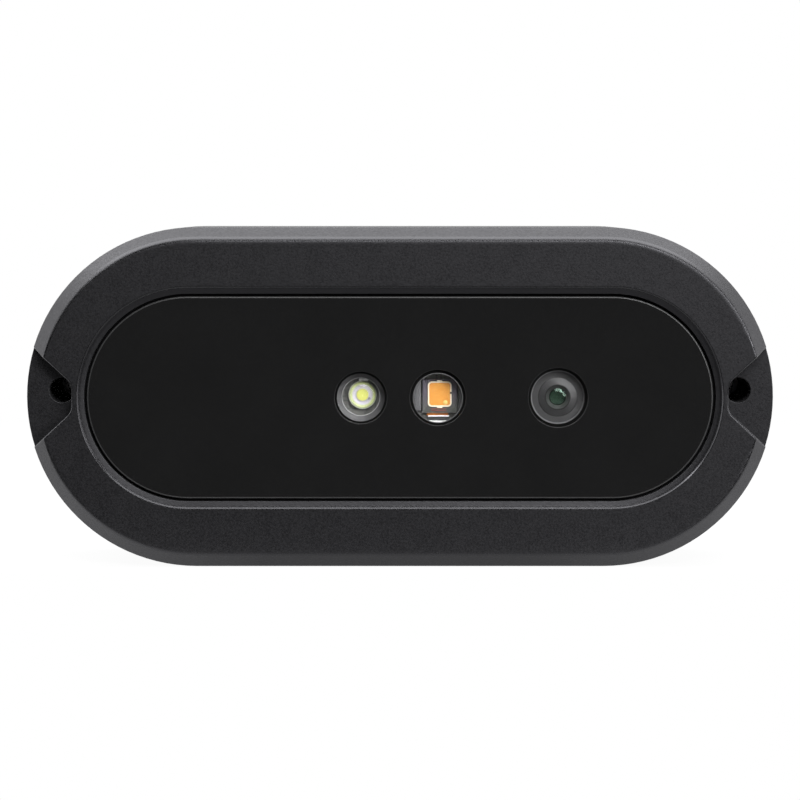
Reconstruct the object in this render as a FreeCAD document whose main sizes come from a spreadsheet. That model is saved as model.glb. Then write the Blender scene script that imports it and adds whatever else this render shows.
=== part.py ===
import FreeCAD
import Part
import Sketcher
import math
import os
import re

# Frame: X to the right of the front view, Z up, the front faces -Y. The origin is the
# centre of the rear mounting face, and "depth" is the distance from that face to the front.

# Driving sizes, in mm
SIZES = {
    # housing
    "body_length": 165.0,
    "body_height": 75.0,
    "front_chamfer": 2.95,
    "front_edge_radius": 0.7,
    "rear_chamfer": 0.6,
    "end_wall": 13.5,
    "rim_wall": 1.9,
    "cover_ledge": 2.0,
    "ledge_thickness": 2.3,
    # end notches and fixing bores
    "notch_depth": 4.0,
    "notch_reach": 10.15,
    "notch_apex": 6.2,
    "notch_mouth": 25.0,
    "notch_corner": 3.2,
    "notch_edge": 0.45,
    "fixing_inset": 7.75,
    "fixing_rise": 1.5,
    "fixing_bore": 5.6,
    "fixing_hole": 3.2,
    "fixing_seat": 9.4,
    # front panel and its recess
    "panel_end_margin": 13.5,
    "panel_side_margin": 15.2,
    "panel_thickness": 2.0,
    "panel_drop": 0.8,
    "panel_edge": 0.35,
    "panel_gap": 0.6,
    "lip_width": 1.3,
    "lip_step": 0.35,
    "lip_edge": 0.3,
    "lip_slope": 1.2,
    "lip_drop": 0.3,
    "seal_thickness": 0.5,
    "seal_gap": 0.4,
    "panel_ledge": 3.0,
    # apertures and windows
    "lens_end_margin": 34.15,
    "lens_pitch": 26.5,
    "led_pitch": 17.0,
    "led_hole": 11.5,
    "emitter_hole": 12.3,
    "lens_hole": 13.1,
    "hole_edge": 0.1,
    "window_lap": 0.8,
    "window_thickness": 1.0,
    "window_gap": 0.05,
    # depth stack behind the panel
    "cover_thickness": 2.5,
    "jack_gap": 0.3,
    "jack_height": 13.4,
    "board_thickness": 1.6,
    "board_to_spreader": 3.2,
    "spreader_thickness": 2.4,
    "optics_depth": 13.8,
    "sensor_board_thickness": 1.6,
    "illumination_thickness": 1.6,
    "shroud_height": 3.8,
    # rear cover, gasket and screw bosses
    "cover_gap": 0.25,
    "gasket_thickness": 0.6,
    "gasket_gap": 0.3,
    "boss_diameter": 7.0,
    "boss_inset": 2.5,
    "boss_pad": 5.2,
    "spreader_boss_x": 34.0,
    "spreader_boss": 6.0,
    "spreader_boss_inset": 0.4,
    "board_boss": 5.6,
    "board_gap": 1.2,
    "board_corner": 6.0,
    "board_hole_inset": 4.5,
    # connector bay
    "bay_end_margin": 12.0,
    "bay_length": 42.0,
    "bay_width": 30.0,
    "bay_wall": 1.8,
    "bay_floor": 1.5,
    "bay_corner": 3.0,
    "bay_gap": 0.3,
    "port_gap": 0.2,
    "port_margin": 1.2,
    # network jack and data port
    "jack_length": 21.4,
    "jack_width": 15.9,
    "jack_mouth_width": 11.9,
    "jack_mouth_height": 7.0,
    "jack_mouth_depth": 14.0,
    "jack_mouth_sill": 2.6,
    "jack_latch_width": 6.2,
    "jack_latch_height": 2.0,
    "contact_pitch": 1.1,
    "contact_width": 0.5,
    "contact_thickness": 0.35,
    "contact_length": 9.0,
    "contact_lift": 1.0,
    "usb_width": 8.94,
    "usb_height": 3.26,
    "usb_length": 7.3,
    "usb_wall": 0.3,
    "usb_tongue_width": 6.7,
    "usb_tongue_height": 0.7,
    "usb_tongue_length": 4.6,
    "usb_back": 2.0,
    # boards inside
    "sensor_board_length": 28.0,
    "sensor_board_height": 30.0,
    "sensor_hole_inset": 2.6,
    "illumination_margin": 9.5,
    "illumination_top": 10.5,
    "illumination_bottom": 13.5,
    "pedestal_inset": 2.0,
    "pedestal_height": 18.0,
    "illumination_screw_z": 7.0,
    # infrared emitter
    "emitter_shift": 0.45,
    "emitter_rise": 0.1,
    "emitter_width": 7.6,
    "emitter_height": 7.4,
    "emitter_tall": 1.3,
    "diffuser_rise": 0.45,
    "diffuser_width": 5.25,
    "diffuser_height": 5.6,
    "diffuser_corner": 0.9,
    "diffuser_thickness": 0.5,
    "diffuser_sink": 0.3,
    "diffuser_gap": 0.05,
    "capacitor_shift": 0.2,
    "capacitor_drop": 5.3,
    "capacitor_width": 4.9,
    "capacitor_height": 1.55,
    "capacitor_tall": 1.2,
    "capacitor_end": 0.35,
    "shroud_wall": 1.0,
    "shroud_lap": 0.3,
    "led_shroud_step": 1.28,
    "emitter_shroud_step": -0.9,
    # white LED
    "led_shift": 0.35,
    "led_rise": 0.4,
    "led_diameter": 6.2,
    "led_tall": 1.2,
    "led_cup": 0.5,
    "led_cup_mouth": 5.4,
    "led_cup_floor": 3.2,
    "phosphor_diameter": 2.4,
    "phosphor_thickness": 0.3,
    "led_dome": 0.8,
    "led_rim": 0.35,
    # lens, holder and sensor
    "barrel_diameter": 11.9,
    "lens_setback": 0.4,
    "lens_nose": 0.65,
    "nose_base": 8.6,
    "nose_tip": 5.6,
    "bezel_mouth": 5.3,
    "bezel_depth": 0.8,
    "front_glass": 3.8,
    "front_glass_edge": 1.1,
    "front_glass_dome": 0.4,
    "rear_glass": 6.8,
    "rear_glass_thickness": 1.6,
    "rear_glass_dome": 0.35,
    "spacer_height": 1.4,
    "spacer_wall": 0.9,
    "retainer_height": 0.6,
    "throat": 3.0,
    "throat_height": 0.95,
    "glass_gap": 0.05,
    "thread_gap": 0.05,
    "holder_base": 16.0,
    "holder_base_height": 3.2,
    "holder_tube": 15.0,
    "holder_height": 7.0,
    "holder_ear_height": 1.8,
    "holder_ear_width": 5.0,
    "holder_ear_z": 10.8,
    "holder_web": 1.2,
    "holder_web_lift": 1.8,
    "holder_window": 6.0,
    "holder_chamber": 12.0,
    "filter_size": 7.4,
    "filter_thickness": 0.7,
    "filter_gap": 0.1,
    "lock_ring": 16.4,
    "lock_ring_height": 2.0,
    "sensor_size": 9.0,
    "sensor_tall": 1.0,
    # parts on the main board
    "processor_end_margin": 20.7,
    "processor_size": 15.0,
    "processor_tall": 1.4,
    "memory_gap": 1.5,
    "memory_width": 9.0,
    "memory_height": 11.0,
    "memory_tall": 1.0,
    "transformer_gap": 3.0,
    "transformer_length": 13.0,
    "transformer_width": 16.0,
    "transformer_tall": 6.0,
    "power_gap": 1.5,
    "power_pitch": 9.0,
    "power_diameter": 6.3,
    "power_tall": 7.7,
    "inductor_size": 8.0,
    "inductor_tall": 4.0,
    # flat cables
    "flex_thickness": 0.25,
    "flex_bend": 0.9,
    "flex_width": 10.0,
    "flex_overhang": 1.8,
    "flex_lift": 0.6,
    "flex_slot_gap": 0.6,
    "connector_depth": 3.0,
    "connector_tall": 1.3,
    "connector_width": 12.0,
    "connector_setback": 1.5,
    "illumination_flex_drop": 3.0,
    # screws: thread diameter, clearance in plain holes, clearance in threaded holes
    "screw_plain_gap": 0.3,
    "screw_thread_gap": 0.1,
    "cover_screw": 3.0,
    "cover_screw_head": 5.7,
    "cover_screw_length": 9.0,
    "cover_screw_sink": 0.1,
    "spreader_screw": 3.0,
    "spreader_screw_head": 5.4,
    "spreader_screw_length": 8.0,
    "board_screw": 2.5,
    "board_screw_head": 4.5,
    "board_screw_length": 7.0,
    "small_screw": 2.0,
    "small_screw_head": 3.6,
    "small_screw_tip": 0.4,
    "screw_head_height": 1.5,
    "screw_tip_gap": 1.0,
    "light_screw_grip": 4.0,
    "cut_overrun": 1.0,
}

# Sizes that follow from the driving sizes
FOLLOW = {
    # depth stack
    "board_rear": "cover_thickness + jack_gap + jack_height",
    "board_front": "board_rear + board_thickness",
    "spreader_rear": "board_front + board_to_spreader",
    "spreader_front": "spreader_rear + spreader_thickness",
    "sensor_front": "spreader_front + sensor_board_thickness",
    "panel_back": "spreader_front + optics_depth",
    "panel_front": "panel_back + panel_thickness",
    "body_depth": "panel_front + panel_drop",
    "ledge_front": "panel_back - seal_thickness",
    "cavity_top": "ledge_front - ledge_thickness",
    "cover_seat": "cover_thickness + gasket_thickness",
    "illumination_front": "panel_back - shroud_height",
    "illumination_rear": "illumination_front - illumination_thickness",
    # stadium outlines
    "panel_length": "body_length - 2 * panel_end_margin",
    "panel_height": "body_height - 2 * panel_side_margin",
    "recess_length": "panel_length + 2 * panel_gap",
    "recess_height": "panel_height + 2 * panel_gap",
    "window_length": "panel_length - 2 * panel_ledge",
    "window_height": "panel_height - 2 * panel_ledge",
    "opening_length": "body_length - 2 * end_wall",
    "opening_height": "body_height - 2 * rim_wall",
    "cavity_length": "opening_length - 2 * cover_ledge",
    "cavity_height": "opening_height - 2 * cover_ledge",
    # places of holes and bosses
    "fixing_x": "body_length / 2 - fixing_inset",
    "boss_arc": "cavity_height / 2 - boss_inset",
    "end_boss_x": "(cavity_length - cavity_height) / 2 + boss_arc * 0.7071",
    "end_boss_z": "boss_arc * 0.7071",
    "board_length": "2 * (end_boss_x - boss_diameter / 2 - board_gap)",
    "board_height": "2 * (boss_arc - boss_diameter / 2 - board_gap)",
    "board_hole_x": "board_length / 2 - board_hole_inset",
    "board_hole_z": "board_height / 2 - board_hole_inset",
    "spreader_boss_z": "window_height / 2 + spreader_boss_inset + spreader_boss / 2",
    # connector bay
    "bay_left": "-(cavity_length / 2 - bay_end_margin)",
    "bay_right": "bay_left + bay_length",
    "bay_top": "board_rear - bay_gap",
    "bay_depth": "bay_top - bay_floor",
    "jack_z": "-(bay_width / 2 - port_margin - jack_width / 2)",
    "usb_z": "(jack_z + jack_width / 2 + bay_width / 2) / 2",
    "mouth_floor": "board_rear - jack_mouth_sill",
    # parts on the main board
    "jack_right": "bay_right + jack_length",
    "transformer_left": "jack_right + transformer_gap",
    "transformer_right": "transformer_left + transformer_length",
    "power_x": "transformer_left + power_diameter / 2",
    "power_z": "jack_z + transformer_width / 2 + power_gap + power_diameter / 2",
    "inductor_x": "transformer_left + inductor_size / 2",
    "inductor_z": "power_z + power_diameter / 2 + power_gap + inductor_size / 2",
    "processor_x": "-(board_length / 2 - processor_end_margin)",
    "memory_z": "processor_size / 2 + memory_gap + memory_height / 2",
    # optics
    "lens_x": "panel_length / 2 - lens_end_margin",
    "emitter_x": "lens_x - lens_pitch",
    "led_x": "emitter_x - led_pitch",
    "sensor_left": "lens_x - sensor_board_length / 2",
    "sensor_right": "lens_x + sensor_board_length / 2",
    "illumination_left": "led_x - illumination_margin",
    "illumination_right": "emitter_x + illumination_margin",
    "screw_mid_x": "(led_x + emitter_x) / 2",
    "emitter_top": "illumination_front + emitter_tall",
    "emitter_mid": "emitter_x + emitter_shift",
    "diffuser_z": "emitter_rise + diffuser_rise",
    "capacitor_x": "emitter_x + capacitor_shift",
    "led_mid": "led_x + led_shift",
    "lens_tip": "panel_back - lens_setback",
    "barrel_front": "lens_tip - lens_nose",
    "web_rear": "sensor_front + holder_web_lift",
    "web_front": "web_rear + holder_web",
    "holder_front": "sensor_front + holder_height",
    "barrel_rear": "glass_seat - 2 * rear_glass_thickness - spacer_height - retainer_height",
    "front_glass_seat": "lens_tip - bezel_depth - front_glass_edge",
    "glass_seat": "front_glass_seat - throat_height",
    # flat cables
    "sensor_flex_end": "sensor_right - connector_setback",
    "sensor_flex_out": "board_length / 2 + flex_overhang",
    "light_flex_end": "-illumination_bottom + connector_setback",
    "light_flex_out": "-illumination_bottom - illumination_flex_drop",
}

NAME = re.compile(r"[a-z_]+")
doc = FreeCAD.newDocument("tof_camera")
sheet = doc.addObject("Spreadsheet::Sheet", "sizes")
for row, (alias, value) in enumerate(SIZES.items(), start=1):
    sheet.set(f"A{row}", str(value))
    sheet.setAlias(f"A{row}", alias)
doc.recompute()

NODES = []


def expand(text):
    # Puts the driving sizes in place of each named size
    def swap(match):
        word = match.group(0)
        if word in FOLLOW:
            return "(" + expand(FOLLOW[word]) + ")"
        return "sizes." + word if word in SIZES else word

    return NAME.sub(swap, str(text))


def number(text):
    return float(sheet.evalExpression(expand(text).replace("sizes.", "")))


def bind(thing, slot, text):
    thing.setExpression(slot, expand(text))


def body(label, across=None, up=None):
    made = doc.addObject("PartDesign::Body", label + "_body")
    made.Label = label
    if across is not None:
        bind(made, "Placement.Base.x", across)
    if up is not None:
        bind(made, "Placement.Base.z", up)
    return made


def node(label, across=None, up=None):
    made = body(label, across, up)
    NODES.append(made)
    return made


def sketch(owner, name, depth=None, plane="XZ_Plane"):
    made = owner.newObject("Sketcher::SketchObject", name)
    support = [f for f in owner.Origin.OriginFeatures if f.Role == plane][0]
    made.AttachmentSupport = [(support, "")]
    made.MapMode = "FlatFace"
    if depth is not None:
        bind(made, "AttachmentOffset.Base.z", depth)
    return made


def pin(sk, kind, curve, point, text):
    # Holds one coordinate of a point to a named size
    if point:
        rule = Sketcher.Constraint(kind, -1, 1, curve, point, number(text))
    else:
        rule = Sketcher.Constraint(kind, curve, number(text))
    index = sk.addConstraint(rule)
    if "sizes." in expand(text):
        bind(sk, f"Constraints[{index}]", text)


def circle(sk, across, up, diameter):
    centre = FreeCAD.Vector(number(across), number(up), 0)
    shape = Part.Circle(centre, FreeCAD.Vector(0, 0, 1), number(diameter) / 2)
    curve = sk.addGeometry(shape)
    pin(sk, "DistanceX", curve, 3, across)
    pin(sk, "DistanceY", curve, 3, up)
    pin(sk, "Diameter", curve, 0, diameter)


def outline(sk, steps):
    # Closed loop: (x, y) is a straight run to that corner, and (x, y, cx, cy, way) is an
    # arc to it about (cx, cy), with way 1 anticlockwise and -1 clockwise
    corners = [FreeCAD.Vector(number(s[0]), number(s[1]), 0) for s in steps]
    curves = []
    for i, step in enumerate(steps):
        start, end = corners[i - 1], corners[i]
        if len(step) == 2:
            curves.append((sk.addGeometry(Part.LineSegment(start, end)), 1, 2))
            continue
        centre = FreeCAD.Vector(number(step[2]), number(step[3]), 0)
        first, last = (start, end) if step[4] > 0 else (end, start)
        a = math.atan2(first.y - centre.y, first.x - centre.x)
        b = math.atan2(last.y - centre.y, last.x - centre.x)
        ring = Part.Circle(centre, FreeCAD.Vector(0, 0, 1), (first - centre).Length)
        arc = Part.ArcOfCircle(ring, a, b if b > a else b + 2 * math.pi)
        ends = (1, 2) if step[4] > 0 else (2, 1)
        curves.append((sk.addGeometry(arc), *ends))
    for i, (curve, start, end) in enumerate(curves):
        before = curves[i - 1]
        sk.addConstraint(Sketcher.Constraint("Coincident", before[0], before[2], curve, start))
    for step, (curve, start, end), i in zip(steps, curves, range(len(steps))):
        pin(sk, "DistanceX", curve, end, step[0])
        pin(sk, "DistanceY", curve, end, step[1])
        if len(step) > 2:
            chord = corners[i] - corners[i - 1]
            if abs(chord.y) >= abs(chord.x):
                pin(sk, "DistanceX", curve, 3, step[2])
            else:
                pin(sk, "DistanceY", curve, 3, step[3])


def stadium(sk, length, height):
    run = f"(({length}) - ({height})) / 2"
    half = f"({height}) / 2"
    outline(sk, [
        (run, half),
        (run, f"-{half}", run, "0", -1),
        (f"-{run}", f"-{half}"),
        (f"-{run}", half, f"-{run}", "0", -1),
    ])


def rectangle(sk, left, right, low, high):
    outline(sk, [(left, low), (right, low), (right, high), (left, high)])


def centred(sk, width, height, across="0", up="0"):
    rectangle(
        sk,
        f"{across} - ({width}) / 2",
        f"{across} + ({width}) / 2",
        f"{up} - ({height}) / 2",
        f"{up} + ({height}) / 2",
    )


def rounded(sk, left, right, low, high, radius):
    left_in, right_in = f"({left}) + {radius}", f"({right}) - {radius}"
    low_in, high_in = f"({low}) + {radius}", f"({high}) - {radius}"
    outline(sk, [
        (right_in, low),
        (right, low_in, right_in, low_in, 1),
        (right, high_in),
        (right_in, high, right_in, high_in, 1),
        (left_in, high),
        (left, high_in, left_in, high_in, 1),
        (left, low_in),
        (left_in, low, left_in, low_in, 1),
    ])


def pad(owner, sk, length, rearward=False, middle=False):
    made = owner.newObject("PartDesign::Pad", sk.Name + "_pad")
    made.Profile = sk
    bind(made, "Length", length)
    made.Reversed = rearward
    made.Midplane = middle
    return made


def pocket(owner, sk, length, onward=False):
    # A pocket runs against the sketch's normal, or along it when it is onward
    made = owner.newObject("PartDesign::Pocket", sk.Name + "_cut")
    made.Profile = sk
    made.Reversed = onward
    bind(made, "Length", length)
    return made


def edges_where(shape, test):
    return [f"Edge{i}" for i, edge in enumerate(shape.Edges, start=1) if test(edge)]


def lies_at(edge, depth):
    box = edge.BoundBox
    return abs(box.YMin + depth) < 1e-4 and abs(box.YMax + depth) < 1e-4


def dress(owner, kind, size, test, second=None):
    # Chamfer or fillet on the edges of the body's tip that pass the test
    doc.recompute()
    base = owner.Tip
    names = edges_where(base.Shape, test)
    if not names:
        raise RuntimeError(f"no edges to dress on {owner.Label}")
    made = owner.newObject("PartDesign::" + kind, f"{base.Name}_{kind.lower()}")
    made.Base = (base, names)
    if kind == "Fillet":
        bind(made, "Radius", size)
        return made
    bind(made, "Size", size)
    if second is not None:
        made.ChamferType = "Two distances"
        bind(made, "Size2", second)
    return made


def slab(label, draw, rear, thickness):
    made = node(label)
    sk = sketch(made, label + "_outline", rear)
    draw(sk)
    pad(made, sk, thickness)
    return made


def turned(label, profile, across=None, up=None, group=False):
    # Solid of revolution about the line (across, up), from (radius, depth) steps
    made = body(label, across, up) if group else node(label, across, up)
    sk = sketch(made, label + "_profile", plane="XY_Plane")
    steps = []
    for step in profile:
        turn = (step[2], f"-({step[3]})", step[4]) if len(step) > 2 else ()
        steps.append((step[0], f"-({step[1]})", *turn))
    outline(sk, steps)
    spin = made.newObject("PartDesign::Revolution", label + "_turn")
    spin.Profile = sk
    spin.ReferenceAxis = (sk, ["V_Axis"])
    spin.Angle = 360
    return made


def group(label, piece, places):
    # One node of equal, separate solids: links to the piece at each place
    links = []
    for i, (across, up) in enumerate(places, start=1):
        link = doc.addObject("App::Link", f"{label}_{i}")
        link.LinkedObject = piece
        link.LinkTransform = True
        bind(link, "Placement.Base.x", across)
        bind(link, "Placement.Base.z", up)
        links.append(link)
    made = doc.addObject("Part::Compound", label + "_group")
    made.Label = label
    made.Links = links
    NODES.append(made)


def screw(label, seat, way, thread, head, length, places):
    # Cheese-head screw with a hexagon socket; the shank runs from the seat along way
    shank = f"({thread}) / 2"
    top = f"{seat} - ({way}) * screw_head_height"
    tip = f"{seat} + ({way}) * ({length})"
    piece = turned(label + "_one", [
        ("0", tip),
        (shank, tip),
        (shank, seat),
        (f"({head}) / 2", seat),
        (f"({head}) / 2", top),
        ("0", top),
    ], group=True)
    socket(piece, label, top, head, way)
    group(label, piece, places)


def socket(piece, label, top, head, way):
    sk = sketch(piece, label + "_socket", top)
    reach = f"({head}) * 0.26"
    outline(sk, [
        (f"{reach} * {math.cos(math.radians(60 * k)):.6f}",
         f"{reach} * {math.sin(math.radians(60 * k)):.6f}")
        for k in range(6)
    ])
    pocket(piece, sk, "screw_head_height * 0.6", onward=way > 0)


def corners_of(across, up):
    return [(f"{sx}({across})", f"{sz}({up})") for sx in ("", "-") for sz in ("", "-")]


COVER_PLACES = corners_of("end_boss_x", "end_boss_z") + [("0", "boss_arc"), ("0", "-boss_arc")]
SPREADER_PLACES = corners_of("spreader_boss_x", "spreader_boss_z")
BOARD_PLACES = corners_of("board_hole_x", "board_hole_z")
SENSOR_PLACES = [
    (f"lens_x + {sx} * (sensor_board_length / 2 - sensor_hole_inset)",
     f"{sz} * (sensor_board_height / 2 - sensor_hole_inset)")
    for sx in (-1, 1) for sz in (-1, 1)
]
HOLDER_PLACES = [("lens_x", "holder_ear_z"), ("lens_x", "-holder_ear_z")]
LIGHT_PLACES = [("screw_mid_x", "illumination_screw_z"), ("screw_mid_x", "-illumination_screw_z")]
PLAIN = " + screw_plain_gap"
TAPPED = " + screw_thread_gap"


def circles(sk, places, diameter):
    for across, up in places:
        circle(sk, across, up, diameter)


# Housing: outer block, dressed before anything is cut
housing = node("front_housing")
outer = sketch(housing, "outer")
stadium(outer, "body_length", "body_height")
pad(housing, outer, "body_depth")
front = number("body_depth")
dress(housing, "Chamfer", "front_chamfer", lambda e: lies_at(e, front))
dress(housing, "Fillet", "front_edge_radius", lambda e: lies_at(e, front))
dress(housing, "Chamfer", "rear_chamfer", lambda e: lies_at(e, 0))

# Panel recess with its stepped, sloping lip
lip_width = number("lip_width")


def inside(edge, margin):
    # Within the recess outline, widened by the margin
    box = edge.BoundBox
    across, up = max(-box.XMin, box.XMax), max(-box.ZMin, box.ZMax)
    return (across < number("recess_length") / 2 + margin + 0.05
            and up < number("recess_height") / 2 + margin + 0.05)


lip = sketch(housing, "lip", "body_depth")
stadium(lip, "recess_length + 2 * lip_width", "recess_height + 2 * lip_width")
pocket(housing, lip, "lip_step")
dress(housing, "Chamfer", "lip_edge", lambda e: lies_at(e, front) and inside(e, lip_width))
recess = sketch(housing, "recess", "body_depth - lip_step")
stadium(recess, "recess_length", "recess_height")
pocket(housing, recess, "body_depth - lip_step - ledge_front")
lip_floor = front - number("lip_step")
dress(housing, "Chamfer", "lip_slope", lambda e: lies_at(e, lip_floor) and inside(e, 0),
      "lip_drop")

# Cavity, cover rebate and window opening, cut from the rear
for name, length, height, depth in (
    ("cavity", "cavity_length", "cavity_height", "cavity_top"),
    ("rebate", "opening_length", "opening_height", "cover_seat"),
    ("window", "window_length", "window_height", "ledge_front"),
):
    sk = sketch(housing, name)
    stadium(sk, length, height)
    pocket(housing, sk, depth, onward=True)

# Screw bosses inside, with their tapped holes
for name, places, diameter, rear, thread, length in (
    ("cover_boss", COVER_PLACES, "boss_diameter", "cover_seat", "cover_screw", "cover_screw_length"),
    ("spreader_post", SPREADER_PLACES, "spreader_boss", "spreader_front",
     "spreader_screw", "spreader_screw_length"),
):
    sk = sketch(housing, name, "cavity_top")
    circles(sk, places, diameter)
    pad(housing, sk, f"cavity_top - {rear}", rearward=True)
    sk = sketch(housing, name + "_hole", rear)
    circles(sk, places, thread + TAPPED)
    pocket(housing, sk, f"{length} + screw_tip_gap", onward=True)

# End notches and stepped fixing bores
notch = sketch(housing, "notch", "body_depth")
for side in ("", "-"):
    outline(notch, [
        (f"{side}(body_length / 2 - notch_reach)", "notch_apex / 2"),
        (f"{side}(body_length / 2 - notch_reach)", "-notch_apex / 2"),
        (f"{side}(body_length / 2)", "-notch_mouth / 2"),
        (f"{side}(body_length / 2 + cut_overrun)", "-notch_mouth / 2"),
        (f"{side}(body_length / 2 + cut_overrun)", "notch_mouth / 2"),
        (f"{side}(body_length / 2)", "notch_mouth / 2"),
    ])
pocket(housing, notch, "notch_depth")
apex = number("body_length / 2 - notch_reach")
half_apex = number("notch_apex / 2")


def at_apex(edge):
    box = edge.BoundBox
    if box.YLength < 0.5 or box.XLength > 1e-4 or box.ZLength > 1e-4:
        return False
    return abs(abs(box.XMin) - apex) < 1e-3 and abs(abs(box.ZMin) - half_apex) < 1e-3


dress(housing, "Fillet", "notch_corner", at_apex)
flank = number("(notch_mouth - notch_apex) / 2 / notch_reach")
notch_floor = number("body_depth - notch_depth")
corner_reach = number("notch_corner")


def on_notch_rim(edge):
    # Top edges of the notch walls: along the flanks, and in the front face round the apex
    box = edge.BoundBox
    middle = edge.valueAt((edge.FirstParameter + edge.LastParameter) / 2)
    across, up = abs(middle.x) - apex, abs(middle.z) - half_apex
    if -box.YMax < notch_floor + 0.2 or across < -0.05:
        return False
    if abs(up - across * flank) < 0.02:
        return True
    return lies_at(edge, front) and across < corner_reach / 2 and up < corner_reach / 2


dress(housing, "Fillet", "notch_edge", on_notch_rim)
for name, diameter, rear in (
    ("fixing_bore", "fixing_bore", "fixing_seat"),
    ("fixing_hole", "fixing_hole", "0"),
):
    sk = sketch(housing, name, "body_depth - notch_depth")
    circles(sk, [("fixing_x", "fixing_rise"), ("-fixing_x", "fixing_rise")], diameter)
    pocket(housing, sk, f"body_depth - notch_depth - ({rear})")

# Front panel, its seal and the three clear windows
APERTURES = (("led", "led_x", "led_hole"), ("emitter", "emitter_x", "emitter_hole"),
             ("lens", "lens_x", "lens_hole"))
panel = slab("front_panel", lambda sk: stadium(sk, "panel_length", "panel_height"),
             "panel_back", "panel_thickness")
panel_front = number("panel_front")
dress(panel, "Fillet", "panel_edge", lambda e: lies_at(e, panel_front))
sk = sketch(panel, "apertures", "panel_front")
for name, across, hole in APERTURES:
    circle(sk, across, "0", hole)
pocket(panel, sk, "panel_thickness")
widest = max(number(hole) for name, across, hole in APERTURES)
dress(panel, "Chamfer", "hole_edge",
      lambda e: lies_at(e, panel_front) and e.BoundBox.XLength < widest + 0.1)
sk = sketch(panel, "window_seats", "panel_back")
for name, across, hole in APERTURES:
    circle(sk, across, "0", f"{hole} + 2 * window_lap")
pocket(panel, sk, "window_thickness", onward=True)
for name, across, hole in APERTURES:
    slab(name + "_window",
         lambda sk: circle(sk, across, "0", f"{hole} + 2 * (window_lap - window_gap)"),
         "panel_back", "window_thickness")


def seal_ring(sk):
    stadium(sk, "panel_length - 2 * seal_gap", "panel_height - 2 * seal_gap")
    stadium(sk, "window_length + 2 * seal_gap", "window_height + 2 * seal_gap")


def gasket_ring(sk):
    stadium(sk, "opening_length - 2 * gasket_gap", "opening_height - 2 * gasket_gap")
    stadium(sk, "cavity_length + 2 * gasket_gap", "cavity_height + 2 * gasket_gap")


slab("panel_seal", seal_ring, "ledge_front", "seal_thickness")
slab("rear_gasket", gasket_ring, "cover_thickness", "gasket_thickness")

# Rear cover with pads at its screws, board posts and the sunk connector bay
cover = slab("rear_cover",
             lambda sk: stadium(sk, "opening_length - 2 * cover_gap", "opening_height - 2 * cover_gap"),
             "0", "cover_thickness")
sk = sketch(cover, "cover_pads", "cover_thickness")
circles(sk, COVER_PLACES, "boss_pad")
pad(cover, sk, "gasket_thickness")
sk = sketch(cover, "board_posts", "cover_thickness")
circles(sk, BOARD_PLACES, "board_boss")
pad(cover, sk, "board_rear - cover_thickness")
sk = sketch(cover, "bay_block", "cover_thickness")
rounded(sk, "bay_left - bay_wall", "bay_right + bay_wall", "-bay_width / 2 - bay_wall",
        "bay_width / 2 + bay_wall", "(bay_corner + bay_wall)")
pad(cover, sk, "bay_top - cover_thickness")
sk = sketch(cover, "bay_hollow")
rounded(sk, "bay_left", "bay_right", "-bay_width / 2", "bay_width / 2", "bay_corner")
pocket(cover, sk, "bay_depth", onward=True)
for name, up, width, low in (
    ("jack_way", "jack_z", "jack_width", "cover_thickness"),
    ("usb_way", "usb_z", "usb_width", "board_rear - usb_height - port_gap"),
):
    sk = sketch(cover, name, "bay_top")
    rectangle(sk, "bay_right", "bay_right + bay_wall + cut_overrun", f"{up} - {width} / 2 - port_gap",
              f"{up} + {width} / 2 + port_gap")
    pocket(cover, sk, f"bay_top - ({low})")
sk = sketch(cover, "board_holes", "board_rear")
circles(sk, BOARD_PLACES, "board_screw" + TAPPED)
pocket(cover, sk, "board_screw_length - board_thickness + screw_tip_gap")
sk = sketch(cover, "cover_holes")
circles(sk, COVER_PLACES, "cover_screw" + PLAIN)
pocket(cover, sk, "cover_seat", onward=True)
hole = number("cover_screw" + PLAIN)
dress(cover, "Chamfer", "(cover_screw_head - cover_screw) / 2",
      lambda e: lies_at(e, 0) and abs(e.BoundBox.XLength - hole) < 1e-3)

# Countersunk screws of the rear cover
sunk = "(cover_screw_head - cover_screw) / 2 + cover_screw_sink"
cover_screw = turned("rear_cover_screws_one", [
    ("0", "cover_screw_sink"),
    ("cover_screw_head / 2", "cover_screw_sink"),
    ("cover_screw / 2", sunk),
    ("cover_screw / 2", "cover_seat + cover_screw_length"),
    ("0", "cover_seat + cover_screw_length"),
], group=True)
socket(cover_screw, "rear_cover_screws", "cover_screw_sink", "cover_screw_head", 1)
group("rear_cover_screws", cover_screw, COVER_PLACES)

# Heat spreader: plate, pedestal of the illumination board, holes and the cable slot
BOARD_BOX = ("-board_length / 2", "board_length / 2", "-board_height / 2", "board_height / 2",
             "board_corner")
spreader = slab("heat_spreader", lambda sk: rounded(sk, *BOARD_BOX), "spreader_rear",
                "spreader_thickness")
sk = sketch(spreader, "pedestal", "spreader_front")
rectangle(sk, "illumination_left + pedestal_inset", "illumination_right - pedestal_inset",
          "-pedestal_height / 2", "pedestal_height / 2")
pad(spreader, sk, "illumination_rear - spreader_front")
sk = sketch(spreader, "spreader_holes", "spreader_front")
circles(sk, SPREADER_PLACES, "spreader_screw" + PLAIN)
circles(sk, SENSOR_PLACES + HOLDER_PLACES, "small_screw" + TAPPED)
rectangle(sk, "screw_mid_x - flex_width / 2 - flex_slot_gap",
          "screw_mid_x + flex_width / 2 + flex_slot_gap",
          "light_flex_out - flex_thickness - flex_slot_gap", "light_flex_out + flex_slot_gap")
pocket(spreader, sk, "spreader_thickness")
LIGHT_REACH = "illumination_thickness + light_screw_grip"
sk = sketch(spreader, "light_holes", "illumination_rear")
circles(sk, LIGHT_PLACES, "small_screw" + TAPPED)
pocket(spreader, sk, LIGHT_REACH)
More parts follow.
